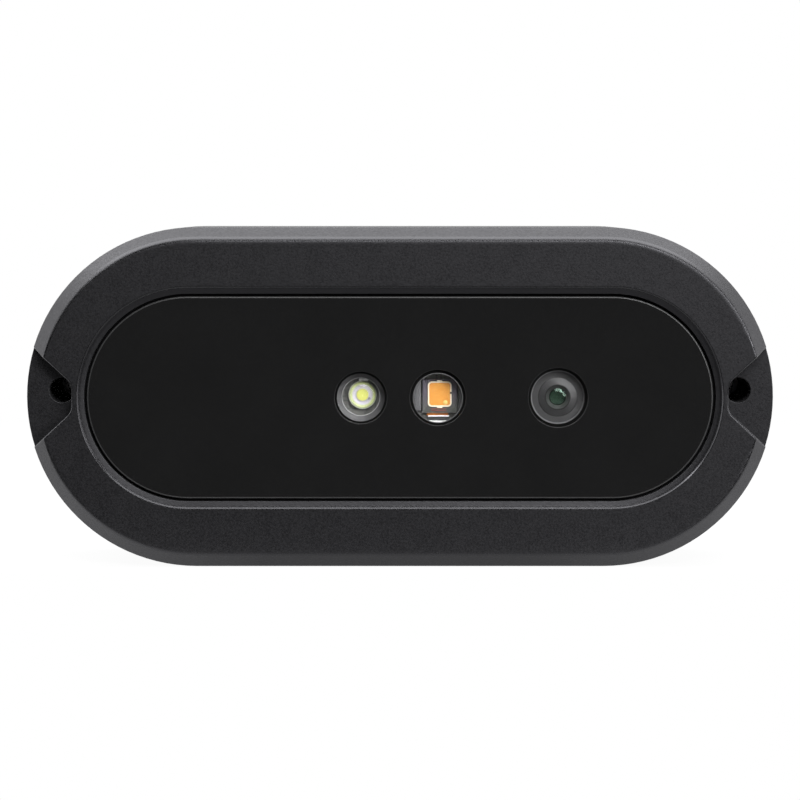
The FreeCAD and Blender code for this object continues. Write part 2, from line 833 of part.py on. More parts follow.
screw("heat_spreader_screws", "spreader_rear", 1, "spreader_screw", "spreader_screw_head",
      "spreader_thickness + spreader_screw_length", SPREADER_PLACES)

# Boards
main = slab("main_board", lambda sk: rounded(sk, *BOARD_BOX), "board_rear", "board_thickness")
sk = sketch(main, "main_holes", "board_front")
circles(sk, BOARD_PLACES, "board_screw" + PLAIN)
pocket(main, sk, "board_thickness")
screw("main_board_screws", "board_front", -1, "board_screw", "board_screw_head",
      "board_screw_length", BOARD_PLACES)
sensor = slab("sensor_board",
              lambda sk: rectangle(sk, "sensor_left", "sensor_right", "-sensor_board_height / 2",
                                   "sensor_board_height / 2"),
              "spreader_front", "sensor_board_thickness")
sk = sketch(sensor, "sensor_holes", "sensor_front")
circles(sk, SENSOR_PLACES + HOLDER_PLACES, "small_screw" + PLAIN)
pocket(sensor, sk, "sensor_board_thickness")
THROUGH = "spreader_thickness + sensor_board_thickness - small_screw_tip"
screw("sensor_board_screws", "sensor_front", -1, "small_screw", "small_screw_head", THROUGH,
      SENSOR_PLACES)
light = slab("illumination_board",
             lambda sk: rectangle(sk, "illumination_left", "illumination_right",
                                  "-illumination_bottom", "illumination_top"),
             "illumination_rear", "illumination_thickness")
sk = sketch(light, "light_clear", "illumination_front")
circles(sk, LIGHT_PLACES, "small_screw" + PLAIN)
pocket(light, sk, "illumination_thickness")
screw("illumination_screws", "illumination_front", -1, "small_screw", "small_screw_head",
      f"{LIGHT_REACH} - small_screw_tip", LIGHT_PLACES)

# Infrared emitter with its diffuser, capacitor and shroud
emitter = slab("emitter_package",
               lambda sk: centred(sk, "emitter_width", "emitter_height", "emitter_mid", "emitter_rise"),
               "illumination_front", "emitter_tall")


def diffuser_box(sk, gap):
    rounded(sk, f"emitter_mid - diffuser_width / 2 - {gap}",
            f"emitter_mid + diffuser_width / 2 + {gap}", f"diffuser_z - diffuser_height / 2 - {gap}",
            f"diffuser_z + diffuser_height / 2 + {gap}", f"(diffuser_corner + {gap})")


sk = sketch(emitter, "diffuser_seat", "emitter_top")
diffuser_box(sk, "diffuser_gap")
pocket(emitter, sk, "diffuser_sink")
slab("emitter_diffuser", lambda sk: diffuser_box(sk, "0"), "emitter_top - diffuser_sink",
     "diffuser_thickness")
INNER = "(capacitor_height / 2 - capacitor_end)"
slab("capacitor_body",
     lambda sk: rectangle(sk, "capacitor_x - capacitor_width / 2", "capacitor_x + capacitor_width / 2",
                          f"-capacitor_drop - {INNER}", f"-capacitor_drop + {INNER}"),
     "illumination_front", "capacitor_tall")
terminal = body("capacitor_terminals_one")
sk = sketch(terminal, "terminal", "illumination_front")
rectangle(sk, "-capacitor_width / 2", "capacitor_width / 2", "-capacitor_end / 2", "capacitor_end / 2")
pad(terminal, sk, "capacitor_tall")
group("capacitor_terminals", terminal, [
    ("capacitor_x", f"-capacitor_drop + {INNER} + capacitor_end / 2"),
    ("capacitor_x", f"-capacitor_drop - {INNER} - capacitor_end / 2"),
])
for name, across, hole in APERTURES[:2]:
    out = f"({hole} / 2 + window_lap + shroud_wall)"
    mouth = f"({hole} / 2 - shroud_lap)"
    waist = f"({mouth} - {name}_shroud_step)"
    turned(name + "_shroud", [
        (waist, "illumination_front"),
        (out, "illumination_front"),
        (out, "panel_back"),
        (mouth, "panel_back"),
        (mouth, "panel_back - shroud_height / 3"),
        (waist, "panel_back - shroud_height / 2"),
    ], across, "0")

# White LED: package with a cup, phosphor chip and clear dome
turned("led_package", [
    ("0", "illumination_front"),
    ("led_diameter / 2", "illumination_front"),
    ("led_diameter / 2", "illumination_front + led_tall"),
    ("led_cup_mouth / 2", "illumination_front + led_tall"),
    ("led_cup_floor / 2", "illumination_front + led_tall - led_cup"),
    ("0", "illumination_front + led_tall - led_cup"),
], "led_mid", "led_rise")
slab("led_phosphor", lambda sk: circle(sk, "led_mid", "led_rise", "phosphor_diameter"),
     "illumination_front + led_tall - led_cup", "phosphor_thickness")


def cap(rim, height):
    # Radius of a dome of that height over that rim radius
    return f"((({rim}) ^ 2 + ({height}) ^ 2) / (2 * ({height})))"


LED_TOP = "(illumination_front + led_tall)"
DOME = f"{LED_TOP} + led_rim + led_dome"
turned("led_lens", [
    ("0", LED_TOP),
    ("led_diameter / 2", LED_TOP),
    ("led_diameter / 2", f"{LED_TOP} + led_rim"),
    ("0", DOME, "0", f"{DOME} - {cap('led_diameter / 2', 'led_dome')}", -1),
], "led_mid", "led_rise")

# Lens: barrel, glasses, spacer and retainer
FRONT_R = "(front_glass / 2)"
REAR_R = "(rear_glass / 2)"
turned("lens_barrel", [
    (f"{REAR_R} + glass_gap", "barrel_rear"),
    ("barrel_diameter / 2", "barrel_rear"),
    ("barrel_diameter / 2", "barrel_front"),
    ("nose_base / 2", "barrel_front"),
    ("nose_tip / 2", "lens_tip"),
    ("bezel_mouth / 2", "lens_tip"),
    (f"{FRONT_R} + glass_gap", "lens_tip - bezel_depth"),
    (f"{FRONT_R} + glass_gap", "front_glass_seat"),
    ("throat / 2", "front_glass_seat"),
    ("throat / 2", "glass_seat"),
    (f"{REAR_R} + glass_gap", "glass_seat"),
], "lens_x", "0")
FRONT_EDGE = "front_glass_seat + front_glass_edge"
FRONT_APEX = "front_glass_seat + front_glass_edge + front_glass_dome"
turned("lens_front_element", [
    ("0", "front_glass_seat"),
    (FRONT_R, "front_glass_seat"),
    (FRONT_R, FRONT_EDGE),
    ("0", FRONT_APEX, "0", f"{FRONT_APEX} - {cap(FRONT_R, 'front_glass_dome')}", -1),
], "lens_x", "0")
MIDDLE = "(glass_seat - rear_glass_thickness)"
BULGE_R = f"({REAR_R} - spacer_wall)"
for name, seat in (
    ("lens_middle_element", "glass_seat"),
    ("lens_rear_element", f"({MIDDLE} - spacer_height)"),
):
    rim = f"({seat} - rear_glass_thickness)"
    apex_at = f"{rim} - rear_glass_dome"
    turned(name, [
        ("0", seat),
        ("0", apex_at),
        (BULGE_R, rim, "0", f"{apex_at} + {cap(BULGE_R, 'rear_glass_dome')}", -1),
        (REAR_R, rim),
        (REAR_R, seat),
    ], "lens_x", "0")
RINGS = (
    ("lens_spacer", f"{MIDDLE} - spacer_height", "spacer_height"),
    ("lens_retainer", "barrel_rear", "retainer_height"),
)
for name, rear, height in RINGS:
    turned(name, [
        (f"{REAR_R} - spacer_wall", rear),
        (REAR_R, rear),
        (REAR_R, f"{rear} + {height}"),
        (f"{REAR_R} - spacer_wall", f"{rear} + {height}"),
    ], "lens_x", "0")

# Lens holder with its chamber, filter seat and screw ears
holder = slab("lens_holder",
              lambda sk: centred(sk, "holder_base", "holder_base", "lens_x"),
              "sensor_front", "holder_base_height")
sk = sketch(holder, "ears", "sensor_front")
centred(sk, "holder_ear_width", "2 * holder_ear_z + holder_ear_width", "lens_x")
pad(holder, sk, "holder_ear_height")
sk = sketch(holder, "tube", "sensor_front")
circle(sk, "lens_x", "0", "holder_tube")
pad(holder, sk, "holder_height")
sk = sketch(holder, "thread_bore", "holder_front")
circle(sk, "lens_x", "0", "barrel_diameter + 2 * thread_gap")
pocket(holder, sk, "holder_front - web_front")
for name, size, depth, length, onward in (
    ("chamber", "holder_chamber", "sensor_front", "holder_web_lift", True),
    ("light_way", "holder_window", "web_front", "holder_web", False),
    ("filter_seat", "filter_size + 2 * filter_gap", "web_front", "filter_thickness", False),
):
    sk = sketch(holder, name, depth)
    centred(sk, size, size, "lens_x")
    pocket(holder, sk, length, onward)
sk = sketch(holder, "ear_holes", "sensor_front")
circles(sk, HOLDER_PLACES, "small_screw" + PLAIN)
pocket(holder, sk, "holder_ear_height", onward=True)
screw("lens_holder_screws", "sensor_front + holder_ear_height", -1, "small_screw",
      "small_screw_head", f"holder_ear_height + {THROUGH}", HOLDER_PLACES)
slab("bandpass_filter", lambda sk: centred(sk, "filter_size", "filter_size", "lens_x"),
     "web_front - filter_thickness", "filter_thickness")
turned("lens_lock_ring", [
    ("barrel_diameter / 2 + thread_gap", "holder_front"),
    ("lock_ring / 2", "holder_front"),
    ("lock_ring / 2", "holder_front + lock_ring_height"),
    ("barrel_diameter / 2 + thread_gap", "holder_front + lock_ring_height"),
], "lens_x", "0")
slab("tof_sensor", lambda sk: centred(sk, "sensor_size", "sensor_size", "lens_x"),
     "sensor_front", "sensor_tall")

# Parts on the main board
slab("processor", lambda sk: centred(sk, "processor_size", "processor_size", "processor_x"),
     "board_front", "processor_tall")
slab("thermal_pad", lambda sk: centred(sk, "processor_size", "processor_size", "processor_x"),
     "board_front + processor_tall", "board_to_spreader - processor_tall")
memory = body("memory_chips_one")
sk = sketch(memory, "memory", "board_front")
centred(sk, "memory_width", "memory_height")
pad(memory, sk, "memory_tall")
group("memory_chips", memory, [("processor_x", "memory_z"), ("processor_x", "-memory_z")])
slab("network_transformer",
     lambda sk: rectangle(sk, "transformer_left", "transformer_right",
                          "jack_z - transformer_width / 2", "jack_z + transformer_width / 2"),
     "board_rear - transformer_tall", "transformer_tall")
power = body("power_capacitors_one")
sk = sketch(power, "can", "board_rear - power_tall")
circle(sk, "0", "0", "power_diameter")
pad(power, sk, "power_tall")
group("power_capacitors", power, [(f"power_x + {k} * power_pitch", "power_z") for k in (0, 1)])
slab("power_inductor",
     lambda sk: centred(sk, "inductor_size", "inductor_size", "inductor_x", "inductor_z"),
     "board_rear - inductor_tall", "inductor_tall")

# Network jack, with its mouth towards the bay, and its contacts
jack = slab("network_jack",
            lambda sk: rectangle(sk, "bay_right", "jack_right", "jack_z - jack_width / 2",
                                 "jack_z + jack_width / 2"),
            "board_rear - jack_height", "jack_height")
sk = sketch(jack, "mouth", "bay_right", plane="YZ_Plane")
mouth_top = "(mouth_floor - jack_mouth_height)"
outline(sk, [
    ("-mouth_floor", "jack_z - jack_mouth_width / 2"),
    ("-mouth_floor", "jack_z + jack_mouth_width / 2"),
    (f"-{mouth_top}", "jack_z + jack_mouth_width / 2"),
    (f"-{mouth_top}", "jack_z + jack_latch_width / 2"),
    (f"-{mouth_top} + jack_latch_height", "jack_z + jack_latch_width / 2"),
    (f"-{mouth_top} + jack_latch_height", "jack_z - jack_latch_width / 2"),
    (f"-{mouth_top}", "jack_z - jack_latch_width / 2"),
    (f"-{mouth_top}", "jack_z - jack_mouth_width / 2"),
])
pocket(jack, sk, "jack_mouth_depth", onward=True)
contact = body("jack_contacts_one")
sk = sketch(contact, "contact", "mouth_floor - contact_lift - contact_thickness")
rectangle(sk, "bay_right + jack_mouth_depth - contact_length", "bay_right + jack_mouth_depth",
          "-contact_width / 2", "contact_width / 2")
pad(contact, sk, "contact_thickness")
group("jack_contacts", contact, [("0", f"jack_z + ({k} - 3.5) * contact_pitch") for k in range(8)])

# Data port: pressed shell and the insert with its tongue
usb_mid = "(board_rear - usb_height / 2)"
shell = node("usb_shell")


def usb_oval(sk, width, height):
    outline(sk, [
        (f"-{usb_mid} + ({height}) / 2", f"usb_z + (({width}) - ({height})) / 2"),
        (f"-{usb_mid} - ({height}) / 2", f"usb_z + (({width}) - ({height})) / 2",
         f"-{usb_mid}", f"usb_z + (({width}) - ({height})) / 2", 1),
        (f"-{usb_mid} - ({height}) / 2", f"usb_z - (({width}) - ({height})) / 2"),
        (f"-{usb_mid} + ({height}) / 2", f"usb_z - (({width}) - ({height})) / 2",
         f"-{usb_mid}", f"usb_z - (({width}) - ({height})) / 2", 1),
    ])


USB_IN = ("usb_width - 2 * usb_wall", "usb_height - 2 * usb_wall")
sk = sketch(shell, "usb_ring", "bay_right", plane="YZ_Plane")
usb_oval(sk, "usb_width", "usb_height")
usb_oval(sk, *USB_IN)
pad(shell, sk, "usb_length")
insert = node("usb_insert")
sk = sketch(insert, "usb_plug", "bay_right + usb_length - usb_back", plane="YZ_Plane")
usb_oval(sk, *USB_IN)
pad(insert, sk, "usb_back")
sk = sketch(insert, "usb_tongue", "bay_right + usb_length - usb_back", plane="YZ_Plane")
rectangle(sk, f"-{usb_mid} - usb_tongue_height / 2", f"-{usb_mid} + usb_tongue_height / 2",
          "usb_z - usb_tongue_width / 2", "usb_z + usb_tongue_width / 2")
pad(insert, sk, "usb_tongue_length", rearward=True)


# Flat cables: a U-shaped strip from one board round an edge to the next. It lies in the plane
# of (side, depth), leaves both boards at "end" and turns back at "out", on the side of sign
def strip(label, plane, end, out, sign, near, far, centre):
    made = node(label)
    sk = sketch(made, label + "_side", centre, plane=plane)
    level = plane == "XY_Plane"
    turn = 1 if level == (sign == "") else -1
    bend = f"({out}) - {sign}flex_bend"
    past = f"({out}) + {sign}flex_thickness"
    near_mid, far_mid = f"({near}) - flex_bend", f"({far}) + flex_bend"

    def at(side, depth):
        return (side, f"-({depth})") if level else (f"-({depth})", side)

    def arc(side, depth, mid, way):
        return (*at(side, depth), *at(bend, mid), way * turn)

    outline(sk, [
        at(end, f"({near}) + flex_thickness"),
        at(bend, f"({near}) + flex_thickness"),
        arc(past, near_mid, near_mid, 1),
        at(past, far_mid),
        arc(bend, f"({far}) - flex_thickness", far_mid, 1),
        at(end, f"({far}) - flex_thickness"),
        at(end, far),
        at(bend, far),
        arc(out, far_mid, far_mid, -1),
        at(out, near_mid),
        arc(bend, near, near_mid, -1),
        at(end, near),
    ])
    pad(made, sk, "flex_width", middle=True)


FAR = "board_front + flex_lift + flex_thickness"
strip("sensor_flex", "XY_Plane", "sensor_flex_end", "sensor_flex_out", "",
      "sensor_front + flex_lift", FAR, "0")
strip("illumination_flex", "YZ_Plane", "light_flex_end", "light_flex_out", "-",
      "illumination_front + flex_lift", FAR, "screw_mid_x")

# Connectors that the flat cables end in
CONNECTORS = (
    ("sensor_flex_end - connector_depth", "sensor_flex_end", "-connector_width / 2",
     "connector_width / 2", "sensor_front"),
    ("sensor_flex_end - connector_depth", "sensor_flex_end", "-connector_width / 2",
     "connector_width / 2", "board_front"),
    ("screw_mid_x - connector_width / 2", "screw_mid_x + connector_width / 2", "light_flex_end",
     "light_flex_end + connector_depth", "illumination_front"),
    ("screw_mid_x - connector_width / 2", "screw_mid_x + connector_width / 2", "light_flex_end",
     "light_flex_end + connector_depth", "board_front"),
)
connector_bodies = []
for k, (left, right, low, high, rear) in enumerate(CONNECTORS, start=1):
    made = body(f"flex_connector_{k}")
    sk = sketch(made, f"connector_{k}", rear)
    rectangle(sk, left, right, low, high)
    pad(made, sk, "connector_tall")
    connector_bodies.append(made)
connectors = doc.addObject("Part::Compound", "flex_connectors_group")
connectors.Label = "flex_connectors"
connectors.Links = connector_bodies
NODES.append(connectors)

doc.recompute()
for item in doc.Objects:
    if "Invalid" in item.State or "Error" in item.State:
        raise RuntimeError(f"{item.Label} did not compute: {item.State}")
for made in NODES:
    if made.Shape.isNull() or not made.Shape.isValid() or not made.Shape.Solids:
        raise RuntimeError(f"{made.Label} is not a valid solid")

os.makedirs("parts", exist_ok=True)
for made in NODES:
    made.Shape.exportStep(f"parts/{made.Label}.step")
    print(made.Label, len(made.Shape.Solids), round(made.Shape.Volume, 1))
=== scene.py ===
import math

import bmesh
import bpy
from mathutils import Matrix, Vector


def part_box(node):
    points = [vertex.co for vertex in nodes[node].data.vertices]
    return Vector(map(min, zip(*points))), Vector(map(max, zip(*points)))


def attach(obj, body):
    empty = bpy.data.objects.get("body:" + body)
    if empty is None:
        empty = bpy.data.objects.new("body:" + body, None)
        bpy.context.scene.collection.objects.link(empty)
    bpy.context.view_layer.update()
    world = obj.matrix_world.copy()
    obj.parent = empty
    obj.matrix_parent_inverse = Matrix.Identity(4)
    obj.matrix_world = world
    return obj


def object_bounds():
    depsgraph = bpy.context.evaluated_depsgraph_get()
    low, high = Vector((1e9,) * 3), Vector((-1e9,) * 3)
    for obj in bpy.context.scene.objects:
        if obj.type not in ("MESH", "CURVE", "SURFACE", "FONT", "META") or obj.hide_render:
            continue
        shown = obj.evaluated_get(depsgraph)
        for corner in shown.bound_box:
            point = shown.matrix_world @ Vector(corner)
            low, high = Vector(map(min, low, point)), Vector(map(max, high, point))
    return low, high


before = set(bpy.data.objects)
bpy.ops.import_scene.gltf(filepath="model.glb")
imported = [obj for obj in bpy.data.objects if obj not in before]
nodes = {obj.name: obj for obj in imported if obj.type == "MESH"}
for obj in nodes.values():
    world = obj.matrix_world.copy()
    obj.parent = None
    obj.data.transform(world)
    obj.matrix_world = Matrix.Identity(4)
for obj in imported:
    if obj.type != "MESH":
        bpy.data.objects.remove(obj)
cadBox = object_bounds()
print("frame loaded:", len(nodes), "nodes")

# The front of the camera faces -Y. "depth" is the distance in front of the rear face, so y = -depth.
frontY = -0.040

shot = {
    "distance": 0.69,                    # lens to front face
    "height": 0.0425,                    # lens above the middle of the object
    "aim": (0.0, -0.037, -0.00064),
    "lens": 141.43, "sensor": 36.0, "near": 0.01,
}


def placeCamera():
    data = bpy.data.cameras.new("photo_camera")
    data.sensor_width = shot["sensor"]
    data.lens = shot["lens"]
    data.clip_start = shot["near"]
    eye = Vector((0.0, frontY - shot["distance"], shot["height"]))
    viewer = bpy.data.objects.new("photo_camera", data)
    viewer.location = eye
    viewer.rotation_euler = (Vector(shot["aim"]) - eye).to_track_quat("-Z", "Y").to_euler()
    bpy.context.scene.collection.objects.link(viewer)
    bpy.context.scene.camera = viewer
    bpy.context.scene.view_settings.view_transform = "Standard"
    print("camera placed")


# Node helpers

def addNode(tree, kind, values=None, **settings):
    node = tree.nodes.new(kind)
    for key, value in settings.items():
        setattr(node, key, value)
    for key, value in (values or {}).items():
        node.inputs[key].default_value = value
    return node


def wire(tree, source, node, socket):
    tree.links.new(source, node.inputs[socket])


def rgba(tone):
    return (tone[0], tone[1], tone[2], 1.0)


def maths(tree, operation, first, second=None):
    node = addNode(tree, "ShaderNodeMath", operation=operation)
    for index, value in enumerate((first, second)):
        if value is None:
            continue
        if isinstance(value, (int, float)):
            node.inputs[index].default_value = value
        else:
            wire(tree, value, node, index)
    return node.outputs[0]


def product(tree, *values):
    result = values[0]
    for value in values[1:]:
        result = maths(tree, "MULTIPLY", result, value)
    return result


def mixValues(tree, factor, first, second):
    # first where the factor is 1, second where it is 0
    return maths(tree, "ADD", product(tree, factor, first),
                 product(tree, maths(tree, "SUBTRACT", 1.0, factor), second))


def hypotenuse(tree, side, rise):
    squares = maths(tree, "ADD", product(tree, side, side), product(tree, rise, rise))
    return maths(tree, "SQRT", squares)


def spread(tree, value, span, to=(0.0, 1.0)):
    # carries the span of values over to another span, clamped at both ends
    node = addNode(tree, "ShaderNodeMapRange", {
        "From Min": span[0], "From Max": span[1], "To Min": to[0], "To Max": to[1]})
    wire(tree, value, node, "Value")
    return node.outputs["Result"]


def blendTones(tree, factor, first, second):
    node = addNode(tree, "ShaderNodeMix", data_type="RGBA")
    if isinstance(factor, float):
        node.inputs[0].default_value = factor
    else:
        wire(tree, factor, node, 0)
    for index, tone in ((6, first), (7, second)):
        if isinstance(tone, tuple):
            node.inputs[index].default_value = rgba(tone)
        else:
            wire(tree, tone, node, index)
    return node.outputs[2]


def coordinates(tree, stretch=(1, 1, 1)):
    where = addNode(tree, "ShaderNodeTexCoord").outputs["Object"]
    if stretch == (1, 1, 1):
        return where
    node = addNode(tree, "ShaderNodeMapping", {"Scale": stretch})
    wire(tree, where, node, "Vector")
    return node.outputs[0]


def axes(tree):
    split = addNode(tree, "ShaderNodeSeparateXYZ")
    wire(tree, coordinates(tree), split, 0)
    return split.outputs


def noise(tree, where, size, detail=2.0):
    node = addNode(tree, "ShaderNodeTexNoise", {
        "Scale": 1.0 / size, "Detail": detail, "Roughness": 0.55})
    wire(tree, where, node, "Vector")
    return node.outputs[0]


def squareCells(tree, where, size):
    node = addNode(tree, "ShaderNodeTexVoronoi", {"Scale": 1.0 / size}, feature="F1", distance="CHEBYCHEV")
    wire(tree, where, node, "Vector")
    return node.outputs["Distance"]


# Shared by the finishes
grainSpan = (0.35, 0.65)                 # noise values at which the first and the second tone are reached
roughSpan = (0.32, 0.68)
hazeSpan, tintSpan = (0.4, 0.75), (0.3, 0.7)     # the same for roughness and tone of glass
broadDetail = 3.0                        # octaves of the mottle and the haze
wearSpan = (0.35, 1.0)                   # least and most wear along an edge
wornGloss = 0.1                          # how much smoother a worn edge is
edgeTurn = (0.99, 0.78)                  # cosine of the turn on flats and on sharp edges
edgeBlur = 0.0001
holeBlur = 0.00004


def edgeMask(tree, radius):
    # 0 on flats, 1 on sharp outer edges
    bevel = addNode(tree, "ShaderNodeBevel", {"Radius": radius}, samples=4)
    geometry = addNode(tree, "ShaderNodeNewGeometry")
    dot = addNode(tree, "ShaderNodeVectorMath", operation="DOT_PRODUCT")
    wire(tree, bevel.outputs[0], dot, 0)
    wire(tree, geometry.outputs["Normal"], dot, 1)
    return spread(tree, dot.outputs["Value"], edgeTurn)


def axisDistance(tree, across, up, mirrored=False):
    # distance in metres from a line along Y
    where = axes(tree)
    side = maths(tree, "ABSOLUTE", where["X"]) if mirrored else where["X"]
    return hypotenuse(tree, maths(tree, "SUBTRACT", side, across), maths(tree, "SUBTRACT", where["Z"], up))


def slotDistance(tree, straight):
    # distance in metres from the middle line of a long round-ended shape
    where = axes(tree)
    end = maths(tree, "SUBTRACT", maths(tree, "ABSOLUTE", where["X"]), straight)
    return hypotenuse(tree, maths(tree, "MAXIMUM", end, 0.0), where["Z"])


def ringTones(tree, rings):
    # tones in circles about a line along Y: (outer radius in mm, tone)
    ramp = addNode(tree, "ShaderNodeValToRGB")
    reach = rings["steps"][-1][0]
    points = ramp.color_ramp.elements
    inner = 0.0
    for outer, tone in rings["steps"]:
        for at in (inner + rings["blur"], outer - rings["blur"]):
            point = points.new(min(max(at / reach, 0.0), 1.0))
            point.color = rgba(tone)
        inner = outer
    points.remove(points[0])
    points.remove(points[-1])
    away = axisDistance(tree, rings["x"] / 1000, rings["z"] / 1000)
    wire(tree, maths(tree, "DIVIDE", away, reach / 1000), ramp, "Fac")
    return ramp.outputs["Color"]


def hollowShadeMask(tree, hollowShades):
    # 1 inside the listed round holes and behind the rim of the panel recess, where shade is painted into the tone
    mask = 0.0
    for across, up, radius, mirrored in hollowShades["holes"]:
        hole = spread(tree, axisDistance(tree, across, up, mirrored), (radius, radius - holeBlur))
        mask = maths(tree, "MAXIMUM", hole, mask)
    if "recess" in hollowShades:
        recess = hollowShades["recess"]
        inside = spread(tree, slotDistance(tree, recess["straight"]),
                        [recess["wall"] + blur for blur in recess["wallBlur"]])
        behind = spread(tree, axes(tree)["Y"], (recess["rimY"], recess["rimY"] + recess["rimBlur"]))
        mask = maths(tree, "MAXIMUM", mask, product(tree, inside, behind))
    return mask


def rimMask(tree, rim):
    # 1 where the surface turns away just behind the front, but not on the chamfer
    facing = addNode(tree, "ShaderNodeSeparateXYZ")
    wire(tree, addNode(tree, "ShaderNodeNewGeometry").outputs["True Normal"], facing, 0)
    away = facing.outputs["Y"]
    behind = frontY + rim["deep"]
    slant = maths(tree, "ABSOLUTE", maths(tree, "SUBTRACT", away, rim["chamferY"]))
    return product(tree, spread(tree, axes(tree)["Y"], (behind, behind - edgeBlur)),
                   spread(tree, away, rim["turn"]), spread(tree, slant, rim["slant"]))


def trimMask(tree, trim):
    # 1 along a line that follows the panel's or the housing's outline
    reach, where = slotDistance(tree, trim["straight"]), axes(tree)
    line = product(tree, spread(tree, reach, (trim["from"], trim["from"] + trim["blur"])),
                   spread(tree, reach, (trim["to"] - trim["blur"], trim["to"]), (1.0, 0.0)),
                   spread(tree, where["Y"], (trim["behind"], trim["behind"] - edgeBlur)))
    if "above" in trim:
        line = product(tree, line, spread(tree, where["Z"], trim["above"]))
    return line


def softEdges(tree, look):
    bevel = addNode(tree, "ShaderNodeBevel", {"Radius": look["soften"]}, samples=6)
    if "rounding" in look:
        # a wider rounding along the inner edge of the front chamfer, away from the end notches
        rounding = look["rounding"]
        reach = slotDistance(tree, rounding["straight"])
        rise = maths(tree, "ABSOLUTE", axes(tree)["Z"])
        near = product(tree, spread(tree, reach, rounding["inner"]),
                       spread(tree, reach, rounding["outer"], (1.0, 0.0)), spread(tree, rise, rounding["clear"]))
        wire(tree, spread(tree, near, (0.0, 1.0), (look["soften"], rounding["radius"])), bevel, "Radius")
    return bevel.outputs[0]


def newMaterial(name):
    material = bpy.data.materials.new(name)
    material.use_nodes = True
    tree = material.node_tree
    tree.nodes.clear()
    output = addNode(tree, "ShaderNodeOutputMaterial")
    shader = addNode(tree, "ShaderNodeBsdfPrincipled")
    wire(tree, shader.outputs[0], output, "Surface")
    return material, tree, shader, output


def setSockets(shader, look):
    for socket, value in look.get("sockets", {}).items():
        shader.inputs[socket].default_value = value


def solidFinish(name, look):
    material, tree, shader, _ = newMaterial(name)
    where = coordinates(tree, look.get("stretch", (1, 1, 1)))
    fine = noise(tree, where, look["grain"])
    broad = noise(tree, where, look["mottle"], broadDetail)
    grainShare = look.get("grainShare", 0.55)
    mixed = maths(tree, "ADD", product(tree, fine, grainShare), product(tree, broad, 1.0 - grainShare))
    tone = blendTones(tree, spread(tree, mixed, grainSpan), look["tone"], look["toneTwo"])
    rough = spread(tree, mixed, roughSpan, look["rough"])
    if "wear" in look:
        worn = product(tree, edgeMask(tree, look["wearWidth"]), spread(tree, broad, grainSpan, wearSpan))
        tone = blendTones(tree, worn, tone, look["wear"])
        rough = maths(tree, "SUBTRACT", rough, product(tree, worn, wornGloss))
    if "rim" in look:
        rough = mixValues(tree, rimMask(tree, look["rim"]), look["rim"]["rough"], rough)
    for trim in look.get("trims", ()):
        line = trimMask(tree, trim)
        rough = mixValues(tree, line, trim["rough"], rough)
        # a trim's tone is a painted highlight along its line
        if "tone" in trim:
            tone = blendTones(tree, line, tone, trim["tone"])
    if "rings" in look:
        tone = blendTones(tree, look["rings"]["share"], tone, ringTones(tree, look["rings"]))
    if "bands" in look:
        bands = look["bands"]
        over = spread(tree, axes(tree)["Z"], (bands["z"] - bands["blur"], bands["z"] + bands["blur"]))
        tone = blendTones(tree, over, tone, bands["above"])
    # painted shade in holes and recesses, and painted light where a bore narrows to its seat
    if "hollowShades" in look:
        hollowShades = look["hollowShades"]
        hollowShade = hollowShadeMask(tree, hollowShades)
        tone = blendTones(tree, hollowShade, tone, hollowShades["tone"])
        rough = maths(tree, "MAXIMUM", rough, product(tree, hollowShade, hollowShades["rough"]))
        if "seat" in hollowShades:
            seat = hollowShades["seat"]
            gap = maths(tree, "ABSOLUTE", maths(tree, "SUBTRACT", axes(tree)["Y"], seat["y"]))
            tone = blendTones(tree, product(tree, hollowShade, spread(tree, gap, seat["reach"])), tone, seat["tone"])
    wire(tree, tone, shader, "Base Color")
    wire(tree, rough, shader, "Roughness")
    bump = addNode(tree, "ShaderNodeBump", {
        "Strength": look["bump"], "Distance": look["bumpDepth"]})
    wire(tree, fine, bump, "Height")
    if "soften" in look:
        wire(tree, softEdges(tree, look), bump, "Normal")
    wire(tree, bump.outputs[0], shader, "Normal")
    setSockets(shader, look)
    return material


def glassFinish(name, look):
    # clear for sight, and lamps shine straight through it
    material, tree, shader, output = newMaterial(name)
    haze = noise(tree, coordinates(tree), look["haze"], broadDetail)
    wire(tree, spread(tree, haze, hazeSpan, look["rough"]), shader, "Roughness")
    tone = blendTones(tree, spread(tree, haze, tintSpan), look["tone"], look["toneTwo"])
    wire(tree, tone, shader, "Base Color")
    shader.inputs["Transmission Weight"].default_value = look.get("clear", 1.0)
    shader.inputs["IOR"].default_value = look["index"]
    setSockets(shader, look)
    path = addNode(tree, "ShaderNodeLightPath")
    clear = addNode(tree, "ShaderNodeBsdfTransparent", {"Color": rgba(look["pass"])})
    mix = addNode(tree, "ShaderNodeMixShader")
    wire(tree, path.outputs["Is Shadow Ray"], mix, 0)
    wire(tree, shader.outputs[0], mix, 1)
    wire(tree, clear.outputs[0], mix, 2)
    wire(tree, mix.outputs[0], output, "Surface")
    return material


boardRelief = {
    "pitch": 0.13, "trackEdge": (0.03, 0.05),    # spacing of the tracks, as a share of a cell
    "weaveShare": 0.35, "weaveSpan": (0.3, 0.7), "rough": (0.3, 0.46),
    "trackHeight": 0.7, "weaveHeight": 0.3, "bump": 0.35, "bumpDepth": 0.00004,
}


